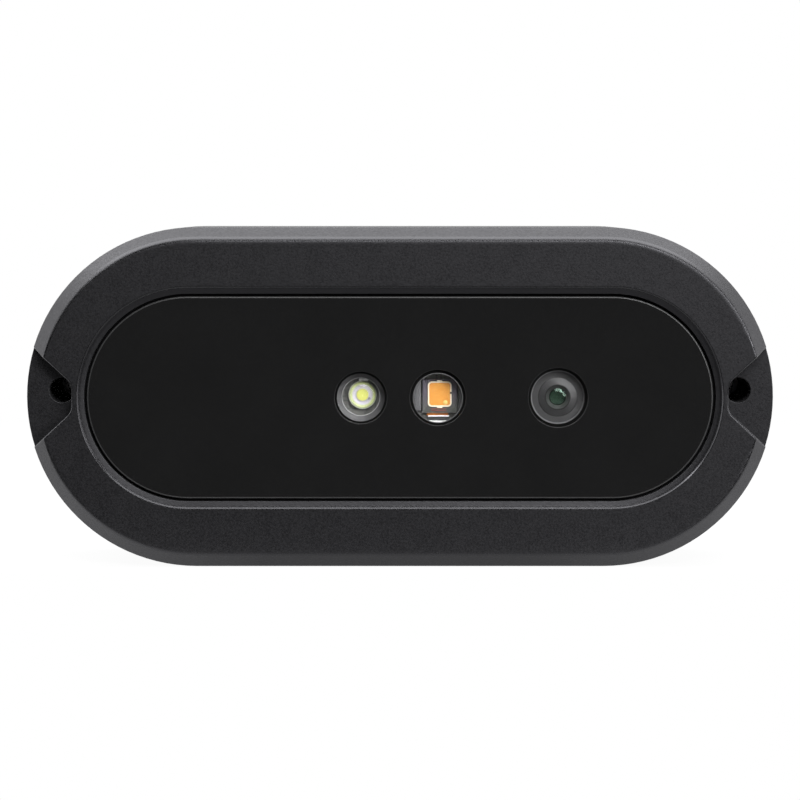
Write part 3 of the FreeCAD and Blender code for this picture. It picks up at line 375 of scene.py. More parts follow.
def boardFinish(name, look):
    # solder mask over copper tracks
    material, tree, shader, _ = newMaterial(name)
    where = coordinates(tree)
    track = squareCells(tree, where, look["track"])
    lines = spread(tree, maths(tree, "PINGPONG", track, boardRelief["pitch"]), boardRelief["trackEdge"])
    fine = noise(tree, where, look["weave"])
    tone = blendTones(tree, lines, look["tone"], look["trackTone"])
    tone = blendTones(tree, spread(tree, fine, grainSpan, (0.0, boardRelief["weaveShare"])), tone, look["toneTwo"])
    wire(tree, tone, shader, "Base Color")
    wire(tree, spread(tree, fine, boardRelief["weaveSpan"], boardRelief["rough"]), shader, "Roughness")
    height = maths(tree, "ADD", product(tree, lines, boardRelief["trackHeight"]),
                   product(tree, fine, boardRelief["weaveHeight"]))
    bump = addNode(tree, "ShaderNodeBump", {"Strength": boardRelief["bump"], "Distance": boardRelief["bumpDepth"]})
    wire(tree, height, bump, "Height")
    wire(tree, bump.outputs[0], shader, "Normal")
    return material


# Finishes: tones are linear, grain and mottle are feature sizes in metres

panelLow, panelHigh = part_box("front_panel")
ledLow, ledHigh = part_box("led_package")
barrelLow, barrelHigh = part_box("lens_barrel")
housingStraight = 0.045                  # half of the straight run of the housing's outline
panelGap = 0.0006
apertureInset = 0.00064                  # from a window's edge to the aperture wall, which is given painted shade
panelRadius = (panelHigh.z - panelLow.z) / 2
panelStraight = (panelHigh.x - panelLow.x) / 2 - panelRadius
apertures = []
for window in ("led_window", "emitter_window", "lens_window"):
    low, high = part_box(window)
    apertures.append(((low.x + high.x) / 2, (low.z + high.z) / 2, (high.x - low.x) / 2 - apertureInset, False))

solidLooks = {
    "housing_coat": {
        "tone": (0.0026, 0.0025, 0.0029), "toneTwo": (0.0042, 0.0041, 0.0046),
        "grain": 0.00042, "grainShare": 0.82, "mottle": 0.004, "rough": (0.38, 0.54),
        "bump": 0.37, "bumpDepth": 0.00005,
        "wear": (0.012, 0.0118, 0.0128), "wearWidth": 0.00035, "soften": 0.00026,
        # painted shade: the mounting bores and the recess wall behind the panel's rim are darkened
        "hollowShades": {
            "holes": ((0.07475, 0.0015, 0.00284, True),),    # x, z, radius, and the same at the other end
            "recess": {"straight": panelStraight, "wall": panelRadius + panelGap, "wallBlur": (0.00006, 0.00002),
                       "rimY": -0.0393, "rimBlur": 0.0002},
            "tone": (0.0008, 0.0008, 0.0008), "rough": 0.95,
            # painted light: a pale grey ring on each bore's seat stands in for the lit far end
            "seat": {"y": -0.0094, "reach": (0.0003, 0.0002), "tone": (0.55, 0.55, 0.56)}},
        # chamferY, turn and slant are of the surface normal's part along Y
        "rim": {"deep": 0.0005, "rough": 0.24, "chamferY": -0.7071,
                "turn": (-0.985, -0.96), "slant": (0.004, 0.012)},
        "rounding": {"straight": housingStraight, "inner": (0.0315, 0.0328), "outer": (0.0355, 0.0362),
                     "clear": (0.0128, 0.0140), "radius": 0.0011},
        "trims": (                       # the lip of the panel recess, and the chamfer's inner edge along the top
            {"straight": panelStraight, "from": 0.0241, "to": 0.02464, "blur": 0.0001, "behind": -0.0393,
             "rough": 0.2},
            {"straight": housingStraight, "from": 0.0343, "to": 0.0355, "blur": 0.0002, "behind": -0.0388,
             "rough": 0.22, "above": (0.027, 0.033)}),
        "sockets": {"Specular Tint": (1.0, 0.995, 1.06, 1.0)}},
    "panel_gloss": {
        "tone": (0.0078, 0.0078, 0.0079), "toneTwo": (0.0092, 0.0092, 0.0093),
        "grain": 0.0006, "mottle": 0.012, "rough": (0.07, 0.13),
        "bump": 0.02, "bumpDepth": 0.00002,
        "wear": (0.03, 0.03, 0.032), "wearWidth": 0.0002,
        # a pale line along the panel's edge: a painted highlight, with rougher gloss
        "trims": (
            {"straight": panelStraight, "from": panelRadius - 0.0004, "to": panelRadius + 0.0002, "blur": 0.0001,
             "behind": -0.0386, "rough": 0.36, "tone": (0.040, 0.040, 0.041)},),
        # painted shade on the walls of the window apertures
        "hollowShades": {"holes": apertures, "tone": (0.004, 0.004, 0.004), "rough": 0.6}},
    "cover_coat": {
        "tone": (0.0115, 0.0112, 0.0120), "toneTwo": (0.018, 0.0176, 0.0188),
        "grain": 0.00036, "mottle": 0.005, "rough": (0.42, 0.56),
        "bump": 0.28, "bumpDepth": 0.00005,
        "wear": (0.038, 0.0375, 0.039), "wearWidth": 0.0004},
    "spreader_anodised": {
        "tone": (0.016, 0.016, 0.018), "toneTwo": (0.028, 0.028, 0.031),
        "grain": 0.0002, "mottle": 0.006, "rough": (0.32, 0.46),
        "bump": 0.12, "bumpDepth": 0.00003,
        "wear": (0.25, 0.25, 0.26), "wearWidth": 0.0003,
        "sockets": {"Metallic": 0.4}},
    "seal_rubber": {
        "tone": (0.010, 0.010, 0.010), "toneTwo": (0.019, 0.019, 0.019),
        "grain": 0.00025, "mottle": 0.003, "rough": (0.62, 0.80),
        "bump": 0.25, "bumpDepth": 0.00004},
    "screw_steel": {
        "tone": (0.42, 0.41, 0.40), "toneTwo": (0.58, 0.57, 0.55),
        "grain": 0.00018, "mottle": 0.0016, "rough": (0.24, 0.40),
        "bump": 0.16, "bumpDepth": 0.00002,
        "wear": (0.75, 0.74, 0.72), "wearWidth": 0.0002,
        "sockets": {"Metallic": 1.0}},
    "shroud_plastic": {
        "tone": (0.054, 0.053, 0.055), "toneTwo": (0.078, 0.077, 0.080),
        "grain": 0.00022, "mottle": 0.002, "rough": (0.38, 0.52),
        "bump": 0.18, "bumpDepth": 0.00003,
        "wear": (0.22, 0.22, 0.22), "wearWidth": 0.00015, "soften": 0.0001},
    "barrel_black": {
        "tone": (0.042, 0.042, 0.044), "toneTwo": (0.058, 0.058, 0.060),
        "grain": 0.00012, "mottle": 0.0015, "rough": (0.42, 0.50),
        "bump": 0.15, "bumpDepth": 0.00002,
        "wear": (0.30, 0.30, 0.31), "wearWidth": 0.00012, "soften": 0.00008,
        "rings": {
            "x": (barrelLow.x + barrelHigh.x) * 500, "z": (barrelLow.z + barrelHigh.z) * 500,
            "blur": 0.03, "share": 0.92,
            # painted shade in the bore and in the dark rings at the steps, and a painted highlight on the pale
            # outer rim; the rest is the barrel's own tone
            "steps": ((1.95, (0.010, 0.010, 0.010)), (2.60, (0.050, 0.054, 0.051)), (2.84, (0.003, 0.003, 0.003)),
                      (4.22, (0.042, 0.042, 0.043)), (4.38, (0.006, 0.006, 0.006)), (5.68, (0.040, 0.040, 0.041)),
                      (8.0, (0.19, 0.19, 0.195)))},
        "sockets": {"Metallic": 0.3}},
    "holder_black": {
        "tone": (0.016, 0.016, 0.017), "toneTwo": (0.026, 0.026, 0.027),
        "grain": 0.00025, "mottle": 0.002, "rough": (0.45, 0.6),
        "bump": 0.2, "bumpDepth": 0.00003,
        "wear": (0.05, 0.05, 0.05), "wearWidth": 0.0002},
    "ceramic_frame": {
        "tone": (0.062, 0.066, 0.058), "toneTwo": (0.092, 0.096, 0.086),
        "bands": {"z": -0.0012, "blur": 0.0016, "above": (0.098, 0.085, 0.108)},
        "grain": 0.00008, "mottle": 0.0009, "rough": (0.42, 0.58),
        "bump": 0.12, "bumpDepth": 0.00001,
        "wear": (0.42, 0.38, 0.42), "wearWidth": 0.00012},
    "led_ceramic": {
        "tone": (0.84, 0.82, 0.90), "toneTwo": (0.92, 0.90, 0.96),
        "grain": 0.00008, "mottle": 0.0008, "rough": (0.36, 0.5),
        "bump": 0.1, "bumpDepth": 0.00001,
        "wear": (0.95, 0.95, 0.95), "wearWidth": 0.0001,
        "rings": {
            "x": (ledLow.x + ledHigh.x) * 500, "z": (ledLow.z + ledHigh.z) * 500,
            "blur": 0.12, "share": 0.9,
            "steps": ((1.25, (0.58, 0.60, 0.18)), (2.15, (0.47, 0.445, 0.51)), (2.85, (0.46, 0.53, 0.17)),
                      (3.3, (0.72, 0.74, 0.64)))}},
    "diffuser_amber": {
        "tone": (0.72, 0.29, 0.040), "toneTwo": (0.76, 0.355, 0.070),
        "grain": 0.00006, "mottle": 0.0011, "rough": (0.28, 0.42),
        "bump": 0.2, "bumpDepth": 0.00001,
        "wear": (0.95, 0.72, 0.45), "wearWidth": 0.00016,
        "sockets": {"Subsurface Weight": 0.15, "Subsurface Radius": (0.0006, 0.0003, 0.0001)}},
    "phosphor": {
        "tone": (0.58, 0.59, 0.105), "toneTwo": (0.65, 0.66, 0.16),
        "grain": 0.00005, "mottle": 0.0006, "rough": (0.5, 0.7),
        "bump": 0.2, "bumpDepth": 0.00001},
    "terminal_tin": {
        "tone": (0.80, 0.80, 0.79), "toneTwo": (0.94, 0.94, 0.92),
        "grain": 0.0001, "mottle": 0.0006, "rough": (0.22, 0.40),
        "bump": 0.25, "bumpDepth": 0.00002,
        "sockets": {"Metallic": 0.2}},
    "terminal_dim": {
        "tone": (0.80, 0.80, 0.79), "toneTwo": (0.94, 0.94, 0.92),
        "grain": 0.0001, "mottle": 0.0006, "rough": (0.30, 0.45),
        "bump": 0.25, "bumpDepth": 0.00002,
        "bands": {"z": -0.0051, "blur": 0.00003, "above": (0.06, 0.06, 0.06)}},
    "capacitor_clay": {
        "tone": (0.050, 0.050, 0.052), "toneTwo": (0.075, 0.075, 0.077),
        "grain": 0.00006, "mottle": 0.0006, "rough": (0.4, 0.55),
        "bump": 0.12, "bumpDepth": 0.00001},
    "chip_resin": {
        "tone": (0.014, 0.014, 0.015), "toneTwo": (0.026, 0.026, 0.027),
        "grain": 0.00012, "mottle": 0.0012, "rough": (0.5, 0.66),
        "bump": 0.22, "bumpDepth": 0.00002,
        "wear": (0.05, 0.05, 0.05), "wearWidth": 0.0002},
    "sensor_die": {
        "tone": (0.030, 0.035, 0.050), "toneTwo": (0.055, 0.050, 0.075),
        "grain": 0.00008, "mottle": 0.0012, "rough": (0.12, 0.24),
        "bump": 0.05, "bumpDepth": 0.00001},
    "pad_silicone": {
        "tone": (0.36, 0.40, 0.46), "toneTwo": (0.46, 0.50, 0.56),
        "grain": 0.0002, "mottle": 0.002, "rough": (0.6, 0.78),
        "bump": 0.3, "bumpDepth": 0.00004},
    "transformer_case": {
        "tone": (0.016, 0.016, 0.017), "toneTwo": (0.030, 0.030, 0.031),
        "grain": 0.0002, "mottle": 0.002, "rough": (0.4, 0.55),
        "bump": 0.2, "bumpDepth": 0.00003,
        "wear": (0.06, 0.06, 0.06), "wearWidth": 0.0003},
    "capacitor_can": {
        "tone": (0.66, 0.67, 0.68), "toneTwo": (0.80, 0.80, 0.81),
        "grain": 0.00015, "mottle": 0.0025, "rough": (0.2, 0.34),
        "bump": 0.1, "bumpDepth": 0.00002, "stretch": (1, 0.1, 1),
        "sockets": {"Metallic": 1.0}},
    "ferrite_grey": {
        "tone": (0.050, 0.050, 0.052), "toneTwo": (0.085, 0.085, 0.088),
        "grain": 0.00012, "mottle": 0.0012, "rough": (0.5, 0.68),
        "bump": 0.3, "bumpDepth": 0.00003},
    "port_nickel": {
        "tone": (0.56, 0.55, 0.53), "toneTwo": (0.70, 0.69, 0.67),
        "grain": 0.0002, "mottle": 0.003, "rough": (0.22, 0.36),
        "bump": 0.1, "bumpDepth": 0.00002, "stretch": (0.15, 1, 1),
        "wear": (0.82, 0.81, 0.79), "wearWidth": 0.0002,
        "sockets": {"Metallic": 1.0}},
    "port_plastic": {
        "tone": (0.014, 0.014, 0.014), "toneTwo": (0.026, 0.026, 0.026),
        "grain": 0.0002, "mottle": 0.002, "rough": (0.4, 0.55),
        "bump": 0.2, "bumpDepth": 0.00002,
        "wear": (0.05, 0.05, 0.05), "wearWidth": 0.0002},
    "contact_gold": {
        "tone": (0.83, 0.58, 0.20), "toneTwo": (0.94, 0.70, 0.30),
        "grain": 0.0001, "mottle": 0.0012, "rough": (0.16, 0.28),
        "bump": 0.06, "bumpDepth": 0.00001,
        "sockets": {"Metallic": 1.0}},
    "flex_film": {
        "tone": (0.42, 0.20, 0.030), "toneTwo": (0.54, 0.28, 0.055),
        "grain": 0.00012, "mottle": 0.002, "rough": (0.26, 0.40),
        "bump": 0.1, "bumpDepth": 0.00001, "stretch": (1, 1, 0.25)},
    "connector_cream": {
        "tone": (0.52, 0.48, 0.40), "toneTwo": (0.62, 0.58, 0.50),
        "grain": 0.00015, "mottle": 0.0015, "rough": (0.4, 0.55),
        "bump": 0.15, "bumpDepth": 0.00002},
    "copper_pad": {
        "tone": (0.80, 0.24, 0.05), "toneTwo": (0.90, 0.34, 0.09),
        "grain": 0.0001, "mottle": 0.0008, "rough": (0.25, 0.4),
        "bump": 0.15, "bumpDepth": 0.00001},
    "mask_black": {
        "tone": (0.0010, 0.0010, 0.0010), "toneTwo": (0.0018, 0.0018, 0.0018),
        "grain": 0.0001, "mottle": 0.001, "rough": (0.75, 0.9),
        "bump": 0.1, "bumpDepth": 0.00001,
        "sockets": {"Specular IOR Level": 0.15}},
    "diffuser_edge": {
        "tone": (0.84, 0.74, 0.54), "toneTwo": (0.90, 0.82, 0.66),
        "grain": 0.00008, "mottle": 0.0007, "rough": (0.3, 0.45),
        "bump": 0.12, "bumpDepth": 0.00001},
    "bond_copper": {
        "tone": (0.17, 0.040, 0.028), "toneTwo": (0.24, 0.065, 0.045),
        "grain": 0.00008, "mottle": 0.0007, "rough": (0.3, 0.45),
        "bump": 0.12, "bumpDepth": 0.00001},
    "glue_yellow": {
        "tone": (0.80, 0.55, 0.14), "toneTwo": (0.86, 0.65, 0.24),
        "grain": 0.00008, "mottle": 0.0005, "rough": (0.15, 0.3),
        "bump": 0.1, "bumpDepth": 0.00001},
    "rail_grey": {
        "tone": (0.085, 0.085, 0.09), "toneTwo": (0.14, 0.14, 0.145),
        "grain": 0.0001, "mottle": 0.0008, "rough": (0.32, 0.46),
        "bump": 0.15, "bumpDepth": 0.00001, "stretch": (1, 1, 0.3),
        "wear": (0.34, 0.34, 0.35), "wearWidth": 0.00012},
    "diode_grey": {
        "tone": (0.22, 0.21, 0.22), "toneTwo": (0.30, 0.29, 0.30),
        "grain": 0.00006, "mottle": 0.0004, "rough": (0.35, 0.5),
        "bump": 0.1, "bumpDepth": 0.00001},
    "mask_painted_highlight": {
        "tone": (0.15, 0.15, 0.155), "toneTwo": (0.24, 0.24, 0.245),
        "grain": 0.0001, "mottle": 0.0008, "rough": (0.4, 0.5),
        "bump": 0.1, "bumpDepth": 0.00001},
    "bead_painted_highlight": {
        "tone": (0.42, 0.42, 0.42), "toneTwo": (0.52, 0.52, 0.52),
        "grain": 0.0001, "mottle": 0.0008, "rough": (0.2, 0.3),
        "bump": 0.1, "bumpDepth": 0.00001},
    "mark_ink": {
        "tone": (0.006, 0.006, 0.006), "toneTwo": (0.014, 0.014, 0.014),
        "grain": 0.00006, "mottle": 0.0004, "rough": (0.5, 0.7),
        "bump": 0.1, "bumpDepth": 0.00001},
}

glassLooks = {
    "window_glass": {
        "tone": (0.985, 0.99, 0.99), "toneTwo": (1.0, 1.0, 1.0), "pass": (0.97, 0.97, 0.975),
        "haze": 0.003, "rough": (0.0, 0.02), "index": 1.50},
    "coated_lens": {
        "tone": (0.72, 0.92, 0.78), "toneTwo": (0.80, 0.96, 0.84), "pass": (0.85, 0.93, 0.88),
        "haze": 0.0015, "rough": (0.0, 0.015), "index": 1.42,
        "sockets": {"Specular Tint": (0.72, 1.0, 0.84, 1.0)}},
    # the inner elements' dark green tone and their tenth that is not clear partly paint the coating's green
    # reflection; the rest is glass tint
    "inner_lens": {
        "tone": (0.32, 0.42, 0.37), "toneTwo": (0.37, 0.47, 0.41), "pass": (0.9, 0.95, 0.92),
        "haze": 0.0015, "rough": (0.0, 0.015), "index": 1.40, "clear": 0.90},
    "filter_glass": {
        "tone": (0.30, 0.04, 0.05), "toneTwo": (0.38, 0.06, 0.07), "pass": (0.4, 0.08, 0.08),
        "haze": 0.0015, "rough": (0.0, 0.02), "index": 1.52},
    "led_silicone": {
        "tone": (0.98, 0.98, 1.0), "toneTwo": (1.0, 1.0, 1.0), "pass": (0.96, 0.96, 0.97),
        "haze": 0.001, "rough": (0.16, 0.24), "index": 1.41},
}

boardLooks = {
    "board_green": {
        "tone": (0.012, 0.060, 0.028), "toneTwo": (0.020, 0.085, 0.040), "trackTone": (0.026, 0.115, 0.050),
        "track": 0.004, "weave": 0.0004},
    "board_grey": {
        "tone": (0.088, 0.092, 0.085), "toneTwo": (0.125, 0.125, 0.117), "trackTone": (0.15, 0.15, 0.14),
        "track": 0.0035, "weave": 0.0003},
}

# Which finish each CAD node wears
nodeFinish = {
    "front_housing": "housing_coat", "front_panel": "panel_gloss",
    "led_window": "window_glass", "emitter_window": "window_glass", "lens_window": "window_glass",
    "panel_seal": "seal_rubber", "rear_gasket": "seal_rubber",
    "rear_cover": "cover_coat", "rear_cover_screws": "screw_steel",
    "heat_spreader": "spreader_anodised", "heat_spreader_screws": "screw_steel",
    "main_board": "board_green", "main_board_screws": "screw_steel",
    "sensor_board": "board_green", "sensor_board_screws": "screw_steel",
    "illumination_board": "board_grey", "illumination_screws": "screw_steel",
    "emitter_package": "ceramic_frame", "emitter_diffuser": "diffuser_amber",
    "capacitor_body": "capacitor_clay", "capacitor_terminals": "terminal_dim",
    "led_shroud": "shroud_plastic", "emitter_shroud": "shroud_plastic",
    "led_package": "led_ceramic", "led_phosphor": "phosphor", "led_lens": "led_silicone",
    "lens_barrel": "barrel_black", "lens_front_element": "coated_lens",
    "lens_middle_element": "inner_lens", "lens_rear_element": "inner_lens",
    "lens_spacer": "holder_black", "lens_retainer": "holder_black",
    "lens_holder": "holder_black", "lens_holder_screws": "screw_steel",
    "bandpass_filter": "filter_glass", "lens_lock_ring": "holder_black",
    "tof_sensor": "sensor_die", "processor": "chip_resin", "thermal_pad": "pad_silicone",
    "memory_chips": "chip_resin", "network_transformer": "transformer_case",
    "power_capacitors": "capacitor_can", "power_inductor": "ferrite_grey",
    "network_jack": "port_nickel", "jack_contacts": "contact_gold",
    "usb_shell": "port_nickel", "usb_insert": "port_plastic",
    "sensor_flex": "flex_film", "illumination_flex": "flex_film",
    "flex_connectors": "connector_cream",
}

materials = {}


def dressNodes():
    for makeFinish, looks in ((solidFinish, solidLooks), (glassFinish, glassLooks), (boardFinish, boardLooks)):
        for name, look in looks.items():
            materials[name] = makeFinish(name, look)
    for name, finish in nodeFinish.items():
        for slot in nodes[name].material_slots:
            slot.link = "OBJECT"
            slot.material = materials[finish]
    print("finishes:", len(materials), "undressed nodes:", sorted(set(nodes) - set(nodeFinish)))


# Piece helpers: outlines are (x, z) in mm, depths are mm in front of the rear face
smoothAngle = 35                         # edges that turn by less are shaded smooth


def roundedOutline(left, right, low, high, corner, steps=6):
    points = []
    for across, up, start in ((right - corner, high - corner, 0), (left + corner, high - corner, 90),
                              (left + corner, low + corner, 180), (right - corner, low + corner, 270)):
        for step in range(steps + 1):
            angle = math.radians(start + 90 * step / steps)
            points.append((across + corner * math.cos(angle), up + corner * math.sin(angle)))
    return points


def place(point, depth):
    return (point[0] / 1000, -depth / 1000, point[1] / 1000)


def finishPiece(name, shape, finish):
    bmesh.ops.recalc_face_normals(shape, faces=shape.faces)
    for face in shape.faces:
        face.smooth = True
    for edge in shape.edges:
        edge.smooth = len(edge.link_faces) == 2 and edge.calc_face_angle(0) < math.radians(smoothAngle)
    mesh = bpy.data.meshes.new(name)
    shape.to_mesh(mesh)
    shape.free()
    mesh.materials.append(materials[finish])
    piece = bpy.data.objects.new(name, mesh)
    bpy.context.scene.collection.objects.link(piece)
    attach(piece, "root")


def joinLoops(shape, loops):
    # faces between each closed loop of points and the next
    count = len(loops[0])
    for one, two in zip(loops, loops[1:]):
        for index in range(count):
            onward = (index + 1) % count
            shape.faces.new((one[index], one[onward], two[onward], two[index]))


def turnedShape(shape, profile, centre, steps=96):
    # closed (radius, depth) profile turned about the line through the centre
    rings = []
    for step in range(steps):
        angle = 2 * math.pi * step / steps
        rings.append([shape.verts.new(place((centre[0] + radius * math.cos(angle),
                                             centre[1] + radius * math.sin(angle)), depth))
                      for radius, depth in profile])
    joinLoops(shape, rings + rings[:1])


def domeShape(shape, centre, radius, seat, height, steps=24, rings=5):
    # shallow drop of glue or ink on a face at that depth
    loops = []
    for ring in range(rings):
        angle = math.pi / 2 * ring / rings
        loops.append([shape.verts.new(place((centre[0] + radius * math.cos(angle) * math.cos(turn),
                                             centre[1] + radius * math.cos(angle) * math.sin(turn)),
                                            seat + height * math.sin(angle)))
                      for turn in (2 * math.pi * step / steps for step in range(steps))])
    joinLoops(shape, loops)
    top = shape.verts.new(place(centre, seat + height))
    for step in range(steps):
        shape.faces.new((loops[-1][step], loops[-1][(step + 1) % steps], top))
    shape.faces.new(loops[0])


def slabShape(shape, outline, rear, front, ease):
    # plate with its front edge eased
    corner = ease * 0.3
    easing = [(0.0, rear), (0.0, front - ease), (corner, front - corner), (ease, front)]
    middle = (sum(p[0] for p in outline) / len(outline), sum(p[1] for p in outline) / len(outline))
    wide = max(p[0] for p in outline) - min(p[0] for p in outline)
    tall = max(p[1] for p in outline) - min(p[1] for p in outline)
    loops = []
    for inset, depth in easing:
        shrink = ((wide - 2 * inset) / wide, (tall - 2 * inset) / tall)
        loops.append([shape.verts.new(place((middle[0] + (p[0] - middle[0]) * shrink[0],
                                             middle[1] + (p[1] - middle[1]) * shrink[1]), depth))
                      for p in outline])
    joinLoops(shape, loops)
    shape.faces.new(loops[-1])
    shape.faces.new(loops[0])


def frameShape(shape, outer, inner, rear, front):
    # closed band between two outlines of equal count
    loops = [[shape.verts.new(place(p, depth)) for p in line]
             for line, depth in ((outer, rear), (outer, front), (inner, front), (inner, rear))]
    joinLoops(shape, loops + loops[:1])


def padShape(shape, edges, seat, pad):
    # rounded plate on a face at that depth
    slabShape(shape, roundedOutline(*edges, pad["corner"]), seat, seat + pad["tall"], pad["ease"])


def centred(x, z, wide, high):
    return x - wide / 2, x + wide / 2, z - high / 2, z + high / 2


def circleOutline(x, z, radius, steps):
    return [(x + radius * math.cos(2 * math.pi * step / steps), z + radius * math.sin(2 * math.pi * step / steps))
            for step in range(steps)]


def boxCorners(node):
    low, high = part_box(node)
    return {"left": low.x * 1000, "right": high.x * 1000, "low": low.z * 1000, "high": high.z * 1000,
            "rear": -high.y * 1000, "front": -low.y * 1000,
            "x": (low.x + high.x) * 500, "z": (low.z + high.z) * 500}


# Black printed borders on the windows, and on the emitter's a pale ring that is a painted highlight
maskLook = {
    # clear radius, and how far the clear circle sits below the window's middle
    "clear": {"led_window": (5.28, 0.0), "emitter_window": (5.38, 0.1), "lens_window": (5.98, 0.0)},
    # pale ring inside the emitter's border: a painted highlight
    "line": {"emitter_window": (5.50, 5.40)},
    "lap": 0.77,                         # from a window's edge to the print, just within the panel's aperture
    "thickness": 0.05, "lineThickness": 0.02, "steps": 96,
}


def makeWindowMasks():
    steps = maskLook["steps"]
    for window, (clear, drop) in maskLook["clear"].items():
        glass = boxCorners(window)
        outer = (glass["right"] - glass["left"]) / 2 - maskLook["lap"]
        level = glass["front"] + maskLook["thickness"]
        shape = bmesh.new()
        frameShape(shape, circleOutline(glass["x"], glass["z"], outer, steps),
                   circleOutline(glass["x"], glass["z"] - drop, clear, steps), glass["front"], level)
        finishPiece(window + "_mask", shape, "mask_black")
        # the pale ring is a painted highlight
        if window in maskLook["line"]:
            wide, narrow = maskLook["line"][window]
            shape = bmesh.new()
            frameShape(shape, circleOutline(glass["x"], glass["z"] - drop, wide, steps),
                       circleOutline(glass["x"], glass["z"] - drop, narrow, steps),
                       level, level + maskLook["lineThickness"])
            finishPiece(window + "_line", shape, "mask_painted_highlight")
    print("window masks:", len(maskLook["clear"]))


# Emitter: pale rim, clips, marks, bond strips and the pads round it
emitterLook = {
    # sideways places are from the middle of the package, edges are left, right, low and high
    "rim": {"width": 0.30, "tall": 0.05, "corners": (0.9, 0.62)},
    "clip": {"x": -0.02, "wide": 1.2, "high": 0.55, "thick": 0.12, "corner": 0.12, "ease": 0.05},
    "dot": {"place": (2.46, 0.84), "radius": 0.24, "tall": 0.05},
    "glue": {"place": (1.25, -1.29), "radius": 0.5, "tall": 0.1},
    "bond": {"x": (-1.95, 1.45), "z": (-2.72, -3.12), "wide": 0.2, "tall": 0.05, "corner": 0.05, "ease": 0.02},
    "strip": {"edges": (-2.85, 1.90, -4.2, -3.62), "tall": 0.3, "corner": 0.12, "ease": 0.1},
    "solder": {"edges": (-2.6, 2.1, -4.53, -4.2), "tall": 0.8, "corner": 0.12, "ease": 0.15},
    "band": {"edges": (-2.45, 2.0, -6.05, -5.32), "tall": 0.04, "corner": 0.1, "ease": 0.015},
    "rails": {"x": ((-5.7, -4.17), (4.17, 5.2)), "reach": 3.3, "tall": 1.1, "corner": 0.15, "ease": 0.12},
}


def makeEmitterDetail():
    diffuser, package = boxCorners("emitter_diffuser"), boxCorners("emitter_package")
    board, capacitor = boxCorners("illumination_board"), boxCorners("capacitor_body")
    top, middle = diffuser["front"], package["x"]

    rim = emitterLook["rim"]
    edges = [diffuser[side] for side in ("left", "right", "low", "high")]
    inner = [edge + rim["width"] * inward for edge, inward in zip(edges, (1, -1, 1, -1))]
    shape = bmesh.new()
    frameShape(shape, roundedOutline(*edges, rim["corners"][0]), roundedOutline(*inner, rim["corners"][1]),
               top, top + rim["tall"])
    finishPiece("diffuser_rim", shape, "diffuser_edge")

    clip = emitterLook["clip"]
    shape = bmesh.new()
    for up in (diffuser["low"], diffuser["high"]):
        outline = roundedOutline(*centred(middle + clip["x"], up, clip["wide"], clip["high"]), clip["corner"])
        slabShape(shape, outline, package["front"], top + clip["thick"], clip["ease"])
    finishPiece("diffuser_clips", shape, "diffuser_edge")

    for name, key, seat, finish, slot in (("diffuser_mark", "dot", top + rim["tall"], "mark_ink", "chip_black"),
                                          ("diffuser_glue", "glue", top, "glue_yellow", "diffuser_orange")):
        drop = emitterLook[key]
        across, up = drop["place"]
        shape = bmesh.new()
        domeShape(shape, (middle + across, up), drop["radius"], seat, drop["tall"])
        finishPiece(name, shape, finish)

    bond = emitterLook["bond"]
    left, right = bond["x"]
    shape = bmesh.new()
    for up in bond["z"]:
        padShape(shape, (middle + left, middle + right, up - bond["wide"] / 2, up + bond["wide"] / 2),
                 package["front"], bond)
    finishPiece("emitter_bonds", shape, "bond_copper")

    # copper pad, solder along the capacitor's upper end, and the metal band round its lower end
    for name, key, seat, finish, slot in (
            ("emitter_copper_pad", "strip", board["front"], "copper_pad", "contact_gold"),
            ("capacitor_solder", "solder", board["front"], "terminal_tin", "terminal_silver"),
            ("capacitor_end_band", "band", capacitor["front"], "terminal_tin", "terminal_silver")):
        left, right, low, high = emitterLook[key]["edges"]
        shape = bmesh.new()
        padShape(shape, (middle + left, middle + right, low, high), seat, emitterLook[key])
        finishPiece(name, shape, finish)

    rails = emitterLook["rails"]
    shape = bmesh.new()
    low, high = package["z"] - rails["reach"], package["z"] + rails["reach"]
    for left, right in rails["x"]:
        padShape(shape, (middle + left, middle + right, low, high), board["front"], rails)
    finishPiece("emitter_rails", shape, "rail_grey")
    print("emitter detail made")


# White LED: solder tab beside it, the small guard diode in its cup and a pale bead in its shroud that catches the
# lamps, with a pale tone that paints part of its bright line as a highlight
ledLook = {
    "tab": {"edges": (-9.1, -7.0, 3.5, 3.92), "tall": 1.2, "corner": 0.08, "ease": 0.08},
    "diode": {"x": 1.36, "z": -0.74, "wide": 0.58, "high": 0.46, "tall": 0.28, "corner": 0.05, "ease": 0.04},
    "cup": 0.5,                          # depth of the cup that the diode stands in
    # the bead's pale tone is partly a painted highlight
    "bead": {"ring": 4.2, "depth": 35.32, "radius": 0.055, "turn": 45},
}


def makeLedDetail():
    led, board, shroud = boxCorners("led_package"), boxCorners("illumination_board"), boxCorners("led_shroud")
    tab, diode, bead = ledLook["tab"], ledLook["diode"], ledLook["bead"]
    shape = bmesh.new()
    padShape(shape, tab["edges"], board["front"], tab)
    finishPiece("led_solder_tab", shape, "terminal_tin")
    shape = bmesh.new()
    padShape(shape, centred(led["x"] + diode["x"], led["z"] + diode["z"], diode["wide"], diode["high"]),
             led["front"] - ledLook["cup"], diode)
    finishPiece("led_guard_diode", shape, "diode_grey")
    profile = [(bead["ring"] + bead["radius"] * math.cos(math.radians(turn)),
                bead["depth"] + bead["radius"] * math.sin(math.radians(turn)))
               for turn in range(0, 360, bead["turn"])]
    shape = bmesh.new()
    turnedShape(shape, profile, (shroud["x"], shroud["z"]))
    finishPiece("led_shroud_highlight_bead", shape, "bead_painted_highlight")
    print("LED detail made")


# Lens: index mark on the barrel's face
lensLook = {"face": 36.15, "mark": {"x": 4.5, "z": -0.95, "wide": 0.28, "high": 1.0,
                                    "tall": 0.03, "corner": 0.06, "ease": 0.01}}


